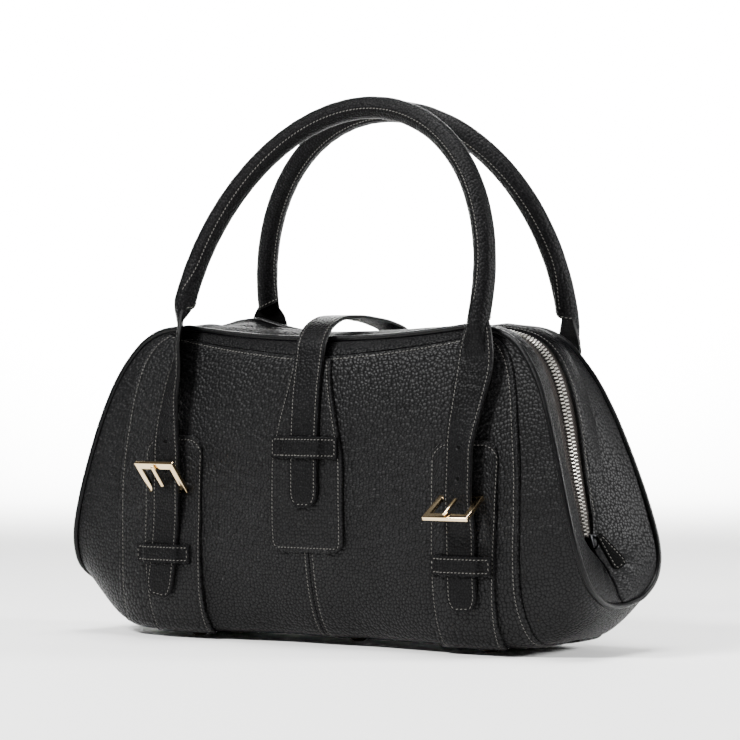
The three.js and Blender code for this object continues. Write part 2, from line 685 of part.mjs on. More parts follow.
/** Point and direction of the closing strap's arch over the depth y. */
function closestOnPath(path, y) {
  const frontArch = CLOSING_ARCH[0][0];
  let best = { miss: Infinity };
  for (let i = 0; i <= 400; i += 1) {
    const point = path.getPointAt(i / 400);
    const miss = point.z > CLOSING_ARCH[1][1] && point.y > frontArch ? Math.abs(point.y - y) : Infinity;
    if (miss < best.miss) best = { miss, point, tangent: path.getTangentAt(i / 400) };
  }
  return best;
}

// Feet
function addFeet() {
  const places = [['front_left', -FOOT.x, -FOOT.y], ['front_right', FOOT.x, -FOOT.y], ['middle', 0, 0],
    ['back_left', -FOOT.x, FOOT.y], ['back_right', FOOT.x, FOOT.y]];
  for (const [name, x, y] of places) {
    const lowestUnder = Math.max(0, Math.abs(y) - FOOT.neck);
    let v = LAST_SECTION;
    while (Math.abs(body(FRONT, x, v).y) < lowestUnder) v -= 0.01;
    const height = body(FRONT, x, v).z - PANEL_PROUD - GAP;
    const profile = [[0, 0], [FOOT.flat, 0], [FOOT.radius * 0.9, height * 0.28], [FOOT.radius, height * 0.6],
      [FOOT.radius, height * 0.75], [FOOT.neck, height], [0, height]];
    const foot = new THREE.LatheGeometry(profile.map(([r, h]) => new THREE.Vector2(r, h)), 12);
    foot.rotateX(Math.PI / 2);
    const mesh = addPiece(`foot_${name}`, prepared(foot), 'feet');
    mesh.position.set(x, y, 0);
  }
}

addPanels();
addWings();
addPiping();
addGussets();
addZip();
addHandles();
addClosing();
addFeet();

export default bag;
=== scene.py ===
"""Looks of a structured leather satchel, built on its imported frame.

Sizes are millimetres in the bag's own frame: +Z up, the front face towards -Y, the origin on the ground
under the middle of the base. They become metres only where a mesh is made.
"""

import json
import logging
import math
from contextlib import contextmanager
from dataclasses import dataclass, field
from enum import Enum
from typing import Callable, Iterator, Optional, Sequence, Union

import bpy
import numpy as np
from mathutils import Matrix, Vector

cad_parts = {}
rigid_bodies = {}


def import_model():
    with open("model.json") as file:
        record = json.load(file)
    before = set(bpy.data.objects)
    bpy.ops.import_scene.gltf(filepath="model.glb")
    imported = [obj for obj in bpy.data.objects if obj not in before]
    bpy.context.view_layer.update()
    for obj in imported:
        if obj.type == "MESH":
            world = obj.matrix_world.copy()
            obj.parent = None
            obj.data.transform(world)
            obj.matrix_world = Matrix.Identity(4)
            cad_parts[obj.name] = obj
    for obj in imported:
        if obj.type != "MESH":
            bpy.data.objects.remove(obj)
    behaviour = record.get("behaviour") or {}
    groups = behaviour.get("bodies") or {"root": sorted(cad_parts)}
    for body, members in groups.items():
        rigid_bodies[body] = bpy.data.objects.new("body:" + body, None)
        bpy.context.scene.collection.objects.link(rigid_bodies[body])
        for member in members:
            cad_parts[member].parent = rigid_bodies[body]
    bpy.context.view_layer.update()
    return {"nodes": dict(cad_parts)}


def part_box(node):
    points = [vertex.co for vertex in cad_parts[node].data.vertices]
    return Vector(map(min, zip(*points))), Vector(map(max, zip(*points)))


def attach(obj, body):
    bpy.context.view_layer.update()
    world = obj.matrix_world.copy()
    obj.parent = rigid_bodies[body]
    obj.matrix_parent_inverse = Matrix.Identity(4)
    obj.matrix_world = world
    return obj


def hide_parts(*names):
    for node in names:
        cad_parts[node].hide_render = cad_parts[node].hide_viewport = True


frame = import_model()

MM = 0.001
BODY = "root"
HIDE_MAP = "hide_mm"
TAPE_MAP = "tape_mm"
Array = np.ndarray
Lift = Union[float, Array]
Piece = bpy.types.Object
Finish = bpy.types.Material
Socket = bpy.types.NodeSocket
LOG = logging.getLogger("satchel")


class Labelled(Enum):
    """A choice whose name is part of the solids' names."""

    @property
    def label(self) -> str:
        """Its name as the solids use it."""
        return self.name.lower()


class Face(Labelled):
    """The two broad faces of the bag, by the sign of their Y."""

    FRONT = -1.0
    BACK = 1.0


class Side(Labelled):
    """The two ends of the bag, by the sign of their X."""

    LEFT = -1.0
    RIGHT = 1.0


class Edge(Enum):
    """The four edges of a sheet: near and far across it, top and foot along it."""

    NEAR = "near"
    FAR = "far"
    TOP = "top"
    FOOT = "foot"


class Slot(Enum):
    """The record's material slots."""

    GRAINED = "grained_leather"
    SMOOTH = "smooth_leather"
    TAPE = "zip_tape"
    ZIP = "zip_metal"
    BUCKLE = "buckle_metal"
    FOOT = "foot_metal"


SIDES = (Edge.NEAR, Edge.FAR)
ENDS = (Edge.TOP, Edge.FOOT)


def lerp(start: Array, end: Array, share: Array) -> Array:
    """Value between start and end at a share."""
    return start + (end - start) * share


def smooth(share: Array) -> Array:
    """Eased share, flat at 0 and at 1."""
    held = np.clip(share, 0.0, 1.0)
    return held * held * (3.0 - 2.0 * held)


def unit(vectors: Array) -> Array:
    """Vectors of length one."""
    return vectors / np.maximum(np.linalg.norm(vectors, axis=-1, keepdims=True), 1e-12)


def square_to(vectors: Array, along: Array) -> Array:
    """Vectors turned square to directions, with length one."""
    return unit(vectors - along * (vectors * along).sum(-1, keepdims=True))


def spaced(count: int, cluster: float = 0.8) -> Array:
    """Shares from 0 to 1 that lie closer together towards both ends.

    Args:
        count: Number of steps.
        cluster: How strongly they crowd at the ends, from 0 to 1.

    Returns:
        count + 1 shares.
    """
    even = np.linspace(0.0, 1.0, count + 1)
    return lerp(even, (1.0 - np.cos(np.pi * even)) / 2.0, cluster)


def table_value(column: Array, position: Array) -> Array:
    """Smooth value of a table's column at a row position, which may lie between rows.

    Args:
        column: Values of the column, one for each row.
        position: Row positions.

    Returns:
        The values at those positions.
    """
    last = len(column) - 1
    row = np.clip(np.floor(position).astype(int), 0, last - 1)
    share = position - row

    def at(offset: int) -> Array:
        """Column value a few rows away, held at the ends."""
        return column[np.clip(row + offset, 0, last)]

    slope1 = (at(1) - at(-1)) / 2.0
    slope2 = (at(2) - at(0)) / 2.0
    s2 = share * share
    s3 = s2 * share
    return (
        (2 * s3 - 3 * s2 + 1) * at(0)
        + (s3 - 2 * s2 + share) * slope1
        + (3 * s2 - 2 * s3) * at(1)
        + (s3 - s2) * slope2
    )


def run_length(points: Array) -> Array:
    """Length along a path up to each of its points."""
    steps = np.linalg.norm(np.diff(points, axis=0), axis=1)
    return np.concatenate([[0.0], np.cumsum(steps)])


def resample(points: Array, shares: Array) -> Array:
    """Points of a path at shares of its length.

    Args:
        points: The path.
        shares: Shares of the length, from 0 to 1.

    Returns:
        One point for each share.
    """
    length = run_length(points)
    at = shares * length[-1]
    return np.stack([np.interp(at, length, points[:, k]) for k in range(points.shape[1])], axis=1)


def chordal(points: Array, count: int) -> Array:
    """Smooth path through points, with the knots spaced by the chords.

    Args:
        points: Points that the path passes through.
        count: Number of steps of the result.

    Returns:
        count + 1 points, evenly spaced along the path.
    """
    padded = np.vstack([2 * points[0] - points[1], points, 2 * points[-1] - points[-2]])
    gaps = np.maximum(np.linalg.norm(np.diff(padded, axis=0), axis=1), 1e-6)
    pieces = []
    t = np.linspace(0.0, 1.0, 24, endpoint=False)[:, None]
    for i in range(len(points) - 1):
        p0, p1, p2, p3 = padded[i : i + 4]
        d0, d1, d2 = gaps[i : i + 3]
        m1 = ((p1 - p0) / d0 - (p2 - p0) / (d0 + d1) + (p2 - p1) / d1) * d1
        m2 = ((p2 - p1) / d1 - (p3 - p1) / (d1 + d2) + (p3 - p2) / d2) * d1
        pieces.append(
            (2 * t**3 - 3 * t**2 + 1) * p1
            + (t**3 - 2 * t**2 + t) * m1
            + (3 * t**2 - 2 * t**3) * p2
            + (t**3 - t**2) * m2
        )
    dense = np.vstack([*pieces, points[-1:]])
    return resample(dense, np.linspace(0.0, 1.0, count + 1))


def to_linear(code: str) -> tuple[float, float, float, float]:
    """Linear colour of an sRGB hex value such as #2b2b2c."""
    shares = [int(code[i : i + 2], 16) / 255.0 for i in (1, 3, 5)]
    linear = [s / 12.92 if s <= 0.04045 else ((s + 0.055) / 1.055) ** 2.4 for s in shares]
    return (linear[0], linear[1], linear[2], 1.0)


Sockets = dict[Union[str, int], Union[float, tuple, Socket]]


class Nodes:
    """The node tree of one material, built up before its Principled shader."""

    def __init__(self, name: str) -> None:
        """Starts the material."""
        self.material = bpy.data.materials.new(name)
        self.material.use_nodes = True
        self.tree = self.material.node_tree

    def feed(self, node: bpy.types.Node, inputs: Sockets) -> None:
        """Gives sockets of a node, by name or number, a value or the output that feeds them."""
        for key, value in inputs.items():
            if isinstance(value, Socket):
                self.tree.links.new(value, node.inputs[key])
            else:
                node.inputs[key].default_value = value

    def add(self, kind: str, output: Union[str, int], inputs: Sockets, **settings: str) -> Socket:
        """Adds one node.

        Args:
            kind: Node type without its prefix.
            output: Name or number of the output that is wanted.
            inputs: Its sockets.
            settings: Its attributes.

        Returns:
            The wanted output.
        """
        made = self.tree.nodes.new(f"ShaderNode{kind}")
        for name, value in settings.items():
            setattr(made, name, value)
        self.feed(made, inputs)
        return made.outputs[output]

    def place(self) -> Socket:
        """Places in the piece's own frame, in metres."""
        return self.add("TexCoord", "Object", {})

    def noise(
        self,
        where: Socket,
        size: float,
        detail: float = 2.0,
        roughness: float = 0.5,
        output: str = "Fac",
        dimensions: str = "3D",
    ) -> Socket:
        """Noise with lumps of a size.

        Args:
            where: Places to take it at.
            size: Size of the lumps, in the units of the places.
            detail: Number of finer layers.
            roughness: Strength of the finer layers.
            output: Fac or Color.
            dimensions: 2D or 3D.

        Returns:
            The noise.
        """
        inputs = {"Vector": where, "Scale": 1.0 / size, "Detail": detail, "Roughness": roughness}
        return self.add("TexNoise", output, inputs, noise_dimensions=dimensions)

    def remap(
        self, value: Socket, low: float, high: float, new_low: float, new_high: float, kind: str = "LINEAR"
    ) -> Socket:
        """A value taken from one range to another."""
        inputs = {"Value": value, "From Min": low, "From Max": high, "To Min": new_low, "To Max": new_high}
        return self.add("MapRange", "Result", inputs, interpolation_type=kind)

    def blend(self, share: Socket, low: Union[tuple, Socket], high: Union[tuple, Socket]) -> Socket:
        """A mix of two colours."""
        return self.add("Mix", 2, {0: share, 6: low, 7: high}, data_type="RGBA")

    def maths(self, operation: str, *values: Union[float, Socket]) -> Socket:
        """The result of one sum."""
        return self.add("Math", "Value", dict(enumerate(values)), operation=operation)

    def bump(self, height: Socket, distance_mm: float, strength: float = 1.0) -> Socket:
        """The normal of a surface that rises with a height."""
        inputs = {"Strength": strength, "Distance": distance_mm * MM, "Height": height}
        return self.add("Bump", "Normal", inputs)

    def dress(self, inputs: Sockets) -> Finish:
        """Feeds the Principled shader and gives back the finished material."""
        self.feed(self.tree.nodes["Principled BSDF"], inputs)
        return self.material


@dataclass(frozen=True)
class Leather:
    """Drum-dyed calf leather, tumbled so that its grain stands up in pebbles."""

    name: str
    top: str
    # The crease colour is painted shade: darker than the pebble tops.
    crease: str
    pebble_mm: float
    relief_mm: float
    roughness: float
    sheen: tuple[float, float]
    crease_width: float = 0.2
    crease_dulls: float = 0.18
    pore_mm: float = 0.7
    pore_height: float = 0.16
    patch_mm: float = 38.0
    worn: str = "#161617"
    # Heights in mm over which the reflection is painted out, as painted shade on the top. The default lies
    # above the bag.
    painted_top_shade_heights: tuple[float, float] = (900.0, 1000.0)
    painted_top_shade_shine: float = 0.06

    def material(self) -> Finish:
        """Soft pebbles with painted shade in the creases between them (a darker colour and less reflection
        there), rubbed smoother on top, and with its reflection painted out above a height as painted shade
        on the top.

        Returns:
            The material.
        """
        nodes = Nodes(self.name)
        flat = nodes.add("UVMap", "UV", {}, uv_map=HIDE_MAP)
        place = nodes.place()
        sway = nodes.noise(flat, 1.8 * self.pebble_mm, output="Color", dimensions="2D")
        amount = 0.7 * self.pebble_mm
        inputs = {0: sway, 1: (amount, amount, amount), 2: flat}
        warped = nodes.add("VectorMath", "Vector", inputs, operation="MULTIPLY_ADD")
        spread = {"Vector": warped, "Scale": 1.0 / self.pebble_mm, "Randomness": 0.85}
        edges, middles = [
            nodes.add("TexVoronoi", "Distance", spread, feature=feature, voronoi_dimensions="2D")
            for feature in ("DISTANCE_TO_EDGE", "F1")
        ]
        # Painted shade in the creases: this mask darkens the colour and lowers the reflection there.
        crease_shade_mask = nodes.remap(edges, 0.0, self.crease_width, 0.0, 1.0, "SMOOTHSTEP")
        dome = nodes.maths("MULTIPLY_ADD", nodes.maths("MULTIPLY", middles, middles), -4.0, 1.0)
        pores = nodes.noise(flat, self.pore_mm, 3.0, 0.6, dimensions="2D")
        patches = nodes.noise(place, self.patch_mm * MM)
        raised = nodes.maths("MULTIPLY", dome, nodes.remap(patches, 0.3, 0.7, 0.62, 1.0))
        height = nodes.maths("MULTIPLY_ADD", pores, self.pore_height, raised)
        colour = nodes.blend(crease_shade_mask, to_linear(self.crease), to_linear(self.top))
        rubbed = nodes.remap(patches, 0.5, 0.8, 0.0, 0.3)
        # Painted shade on the top: above the given heights the reflection falls to a small share of itself.
        level = nodes.add("SeparateXYZ", "Z", {"Vector": place})
        low, high = self.painted_top_shade_heights
        painted_top_shade = nodes.remap(level, low * MM, high * MM, 1.0, self.painted_top_shade_shine)
        shine_with_crease_shade = nodes.remap(crease_shade_mask, 0.0, 1.0, *self.sheen)
        dullest = min(1.0, self.roughness + self.crease_dulls)
        return nodes.dress(
            {
                "Base Color": nodes.blend(rubbed, colour, to_linear(self.worn)),
                "Roughness": nodes.remap(height, 0.1, 1.1, dullest, self.roughness),
                "Normal": nodes.bump(height, self.relief_mm),
                "IOR": 1.5,
                "Specular IOR Level": nodes.maths("MULTIPLY", shine_with_crease_shade, painted_top_shade),
            }
        )


@dataclass(frozen=True)
class EdgePaint:
    """Painted cut edge of a strap: even, a little shinier than the leather, with faint brush lumps."""

    name: str = "leather edge paint"
    colour: str = "#080808"
    lump_mm: float = 1.8

    def material(self) -> Finish:
        """Dark satin paint.

        Returns:
            The material.
        """
        nodes = Nodes(self.name)
        lumps = nodes.noise(nodes.place(), self.lump_mm * MM)
        return nodes.dress(
            {
                "Base Color": to_linear(self.colour),
                "Roughness": nodes.remap(lumps, 0.0, 1.0, 0.38, 0.55),
                "Normal": nodes.bump(lumps, 0.08, 0.6),
                "Specular IOR Level": 0.16,
            }
        )


@dataclass(frozen=True)
class Linen:
    """Waxed linen sewing thread: matt, pale grey, paler where the wax has worn."""

    name: str = "waxed linen thread"
    colour: str = "#3b3a38"
    pale: str = "#595752"
    uneven_mm: float = 4.0
    fibre_mm: float = 0.25

    def material(self) -> Finish:
        """Grey thread with a slight unevenness from stitch to stitch.

        Returns:
            The material.
        """
        nodes = Nodes(self.name)
        place = nodes.place()
        uneven = nodes.noise(place, self.uneven_mm * MM)
        fibres = nodes.noise(place, self.fibre_mm * MM)
        return nodes.dress(
            {
                "Base Color": nodes.blend(uneven, to_linear(self.colour), to_linear(self.pale)),
                "Roughness": 0.75,
                "Normal": nodes.bump(fibres, 0.06, 0.7),
            }
        )


@dataclass(frozen=True)
class Plating:
    """Polished and plated metal: bright, with faint hairlines from handling."""

    name: str
    colour: str
    dull: str
    roughness: float
    hairline_mm: float = 0.5
    cloud_mm: float = 6.0

    def material(self) -> Finish:
        """Reflective metal with a slightly uneven polish.

        Returns:
            The material.
        """
        nodes = Nodes(self.name)
        place = nodes.place()
        stretched = nodes.add("Mapping", "Vector", {"Vector": place, "Scale": (0.15, 1.0, 1.0)})
        hairs = nodes.noise(stretched, self.hairline_mm * MM, 4.0)
        cloudy = nodes.noise(place, self.cloud_mm * MM)
        return nodes.dress(
            {
                "Base Color": nodes.blend(cloudy, to_linear(self.dull), to_linear(self.colour)),
                "Roughness": nodes.remap(hairs, 0.3, 0.7, self.roughness, self.roughness * 1.5),
                "Metallic": 1.0,
            }
        )


@dataclass(frozen=True)
class WovenTape:
    """Cotton zip tape in a fine herringbone, dark brown-black and matt."""

    name: str = "woven zip tape"
    colour: str = "#1b1817"
    pale: str = "#332d29"
    rib_mm: float = 0.9

    def material(self) -> Finish:
        """Ribs across the tape, drawn coarser than the real weave so that they show.

        Returns:
            The material.
        """
        nodes = Nodes(self.name)
        place = nodes.add("UVMap", "UV", {}, uv_map=TAPE_MAP)
        inputs = {"Vector": place, "Scale": 0.31 / self.rib_mm, "Distortion": 0.6}
        ribs = nodes.add("TexWave", "Fac", inputs, wave_type="BANDS", bands_direction="DIAGONAL")
        return nodes.dress(
            {
                "Base Color": nodes.blend(ribs, to_linear(self.colour), to_linear(self.pale)),
                "Roughness": 0.9,
                "Normal": nodes.bump(ribs, 0.2, 0.8),
            }
        )


@dataclass(frozen=True)
class Paper:
    """Seamless studio paper: near white and matt."""

    name: str = "studio paper"
    colour: str = "#fbfbfa"
    tooth_mm: float = 2.0

    def material(self) -> Finish:
        """Pale matt paper with a very faint tooth.

        Returns:
            The material.
        """
        nodes = Nodes(self.name)
        tooth = nodes.noise(nodes.place(), self.tooth_mm * MM)
        return nodes.dress(
            {
                "Base Color": to_linear(self.colour),
                "Roughness": 0.9,
                "Specular IOR Level": 0.1,
                "Normal": nodes.bump(tooth, 0.05, 0.1),
            }
        )


GRAINED = Leather("pebbled calf leather", "#09090a", "#040404", 2.55, 0.33, 0.36, (0.06, 0.16))
WING = Leather("soft pebbled calf leather", "#080809", "#040404", 2.4, 0.24, 0.36, (0.06, 0.15))
STRAP = Leather("fine-grained calf leather", "#080809", "#040404", 2.0, 0.2, 0.34, (0.04, 0.09))
# Gusset leather: its reflection is painted out between 186 and 204 mm, as painted shade on its top.
GUSSET = Leather(
    "worn pebbled calf leather", "#080809", "#040404", 2.3, 0.16, 0.38, (0.06, 0.12), painted_top_shade_heights=(186.0, 204.0)
)
# Also used for the dark plugs that paint shade inside the punched holes.
LINING = Leather("dull lining leather", "#050505", "#030303", 1.6, 0.08, 0.6, (0.02, 0.04))
CORD = Leather("polished calf leather", "#060607", "#040404", 1.5, 0.04, 0.24, (0.08, 0.14))
SILVER = Plating("nickel-plated zip metal", "#bdbab4", "#9c9890", 0.27)
GOLD = Plating("pale gold plating", "#ead2a8", "#dfc396", 0.07)
STUD = Plating("brown-grey plated metal", "#8d7c6c", "#6d5d50", 0.28)
GUNMETAL = Plating("gunmetal plating", "#3c3c3e", "#29292b", 0.3)


@dataclass(frozen=True)
class Finishes:
    """Every finish on the bag, made once and shared by its pieces."""

    grained: Finish = field(default_factory=GRAINED.material)
    wing: Finish = field(default_factory=WING.material)
    strap: Finish = field(default_factory=STRAP.material)
    gusset: Finish = field(default_factory=GUSSET.material)
    lining: Finish = field(default_factory=LINING.material)
    cord: Finish = field(default_factory=CORD.material)
    edge: Finish = field(default_factory=EdgePaint().material)
    thread: Finish = field(default_factory=Linen().material)
    tape: Finish = field(default_factory=WovenTape().material)
    silver: Finish = field(default_factory=SILVER.material)
    gold: Finish = field(default_factory=GOLD.material)
    stud: Finish = field(default_factory=STUD.material)
    gunmetal: Finish = field(default_factory=GUNMETAL.material)


def select_only(piece: Piece) -> None:
    """Makes one object the only selected one and the active one."""
    for other in bpy.context.view_layer.objects:
        other.select_set(False)
    piece.select_set(True)
    bpy.context.view_layer.objects.active = piece


def shade(piece: Piece, angle: float) -> None:
    """Smooth shading with creases where faces meet at more than an angle in degrees."""
    select_only(piece)
    bpy.ops.object.shade_smooth_by_angle(angle=math.radians(angle))


@contextmanager
def editing(piece: Piece) -> Iterator[None]:
    """Opens a piece in edit mode with all of it selected, and closes it again."""
    select_only(piece)
    bpy.ops.object.mode_set(mode="EDIT")
    bpy.ops.mesh.select_all(action="SELECT")
    yield
    bpy.ops.object.mode_set(mode="OBJECT")


def fix_normals(piece: Piece) -> None:
    """Turns all faces of a closed mesh outwards."""
    with editing(piece):
        bpy.ops.mesh.normals_make_consistent(inside=False)


def ease_edges(piece: Piece, width: float, segments: int, angle: float = 30.0) -> None:
    """Rounds the edges of a piece where its faces meet at more than an angle.

    Args:
        piece: The piece.
        width: Width of the round in millimetres.
        segments: Steps of the round.
        angle: The angle in degrees.
    """
    select_only(piece)
    eased = piece.modifiers.new("eased edges", "BEVEL")
    eased.width = width * MM
    eased.segments = segments
    eased.angle_limit = math.radians(angle)
    bpy.ops.object.modifier_apply(modifier=eased.name)


def add_block(size: Sequence[float]) -> Piece:
    """Adds a block of a size in scene units, with its middle at the origin."""
    bpy.ops.mesh.primitive_cube_add(size=1.0)
    block = bpy.context.active_object
    block.scale = size
    bpy.ops.object.transform_apply(location=False, rotation=False, scale=True)
    return block


def dress(piece: Piece, finish: Finish, angle: float) -> Piece:
    """Gives a modelled piece its finish and its shading.

    Args:
        piece: The piece.
        finish: Its finish.
        angle: Crease angle of the shading in degrees.

    Returns:
        The same piece.
    """
    piece.data.materials.clear()
    piece.data.materials.append(finish)
    shade(piece, angle)
    return piece


def make_piece(
    name: str,
    points: Array,
    faces: Sequence[Sequence[int]],
    materials: Sequence[Finish],
    material_index: Optional[Array] = None,
    angle: float = 48.0,
    hide: Optional[Array] = None,
) -> Piece:
    """Makes a mesh object from points in millimetres.

    Args:
        name: Name of the piece.
        points: Vertices, one row each.
        faces: Vertex numbers of each face.
        materials: Materials of the piece.
        material_index: Number of the material of each face, all the first if left out.
        angle: Crease angle of the shading in degrees.
        hide: Place of each face corner on the flat hide, in millimetres.

    Returns:
        The new object, at the origin.
    """
    mesh = bpy.data.meshes.new(name)
    mesh.from_pydata((np.asarray(points) * MM).tolist(), [], faces)
    for material in materials:
        mesh.materials.append(material)
    if material_index is not None:
        mesh.polygons.foreach_set("material_index", np.asarray(material_index, dtype=np.int32))
    if hide is not None:
        mesh.uv_layers.new(name=HIDE_MAP).data.foreach_set("uv", hide.astype(np.float32).ravel())
    mesh.update()
    piece = bpy.data.objects.new(name, mesh)
    bpy.context.scene.collection.objects.link(piece)
    shade(piece, angle)
    return piece


def settle(piece: Piece, slot: Optional[Slot], *nodes: str) -> None:
    """Ties a finished piece to the frame.

    Args:
        piece: The piece.
        slot: The record's slot for its finish, if it has one; not used.
        nodes: Solids that it stands for.
    """
    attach(piece, BODY)
    if nodes:
        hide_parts(*nodes)
    LOG.info("%s: %d faces", piece.name, len(piece.data.polygons))


def stand(place: Array, across: Array, along: Array, out: Array) -> Matrix:
    """Matrix that sets a piece at a place in millimetres with its axes turned to three ways."""
    turn = Matrix([[across[k], along[k], out[k]] for k in range(3)]).to_4x4()
    return Matrix.Translation(Vector((place * MM).tolist())) @ turn


def fit(master: Piece, node: str, slot: Slot, place: Matrix) -> None:
    """Copies a modelled piece, with a mesh of its own, in place of one solid.

    Args:
        master: The piece that was modelled.
        node: Name of the solid.
        slot: The record's slot for its finish; only passed on to settle, which does not use it.
        place: Where the copy's mesh is set.
    """
    made = master.copy()
    made.data = master.data.copy()
    made.name = f"{node}_metal"
    made.data.name = made.name
    bpy.context.scene.collection.objects.link(made)
    made.data.transform(place)
    settle(made, slot, node)


def discard(*masters: Piece) -> None:
    """Removes modelled pieces after their last copy."""
    for master in masters:
        bpy.data.objects.remove(master)


@dataclass(frozen=True)
class SewLine:
    """A line to sew along: points on the leather and the way out of it."""

    points: Array
    normals: Array


@dataclass
class Thread:
    """Rows of stitches, gathered here and made as one mesh."""

    pitch: float = 2.7
    length: float = 2.0
    width: float = 0.62
    height: float = 0.46
    slant: float = 9.0
    sides: int = 6
    centres: list[Array] = field(default_factory=list)
    bases: list[Array] = field(default_factory=list)

    def sew(self, line: SewLine) -> None:
        """Adds the stitches of one line.

        Args:
            line: Where they go.
        """
        if len(line.points) < 3:
            return
        length = run_length(line.points)
        count = int(length[-1] / self.pitch)
        if count < 1:
            return
        at = (np.arange(count) + 0.5) * length[-1] / count

        def pick(values: Array, where: Array) -> Array:
            """Values of the line at lengths along it."""
            return np.stack([np.interp(where, length, values[:, k]) for k in range(3)], axis=1)

        centres = pick(line.points, at)
        ahead = pick(line.points, np.minimum(at + 1.0, length[-1]))
        behind = pick(line.points, np.maximum(at - 1.0, 0.0))
        out = unit(pick(line.normals, at))
        along = square_to(ahead - behind, out)
        across = np.cross(out, along)
        turn = math.radians(self.slant)
        self.centres.append(centres)
        self.bases.append(
            np.stack(
                [
                    along * math.cos(turn) + across * math.sin(turn),
                    across * math.cos(turn) - along * math.sin(turn),
                    out,
                ],
                axis=1,
            )
        )

    def one_stitch(self) -> tuple[Array, list[list[int]]]:
        """Vertices and faces of one stitch: a fat thread that dives into the leather at both ends.

        Returns:
            Vertices as along, across and out, and the faces.
        """
        stations = np.array([-1.0, -0.72, 0.0, 0.72, 1.0])
        fat = np.array([0.35, 0.85, 1.0, 0.85, 0.35])
        rise = np.array([-0.32, 0.02, 0.16, 0.02, -0.32])
        angles = np.arange(self.sides) * 2.0 * np.pi / self.sides
        rings = [
            np.stack(
                [
                    np.full(self.sides, s * self.length / 2.0),
                    f * self.width / 2.0 * np.cos(angles),
                    r + f * self.height / 2.0 * np.sin(angles),
                ],
                axis=1,
            )
            for s, f, r in zip(stations, fat, rise)
        ]
        n = self.sides
        faces = [
            [i * n + k, i * n + (k + 1) % n, (i + 1) * n + (k + 1) % n, (i + 1) * n + k]
            for i in range(len(stations) - 1)
            for k in range(n)
        ]
        faces.append(list(reversed(range(n))))
        faces.append([(len(stations) - 1) * n + k for k in range(n)])
        return np.vstack(rings), [list(reversed(f)) for f in faces]

    def piece(self, name: str, material: Finish) -> None:
        """Makes all the gathered stitches one mesh.

        Args:
            name: Name of the piece.
            material: Finish of the thread.
        """
        local, faces = self.one_stitch()
        centres = np.vstack(self.centres)
        bases = np.vstack(self.bases)
        points = centres[:, None, :] + np.einsum("ij,njk->nik", local, bases)
        size = len(local)
        every = [[v + i * size for v in f] for i in range(len(centres)) for f in faces]
        made = make_piece(name, points.reshape(-1, 3), every, [material], angle=80.0)
        settle(made, None)


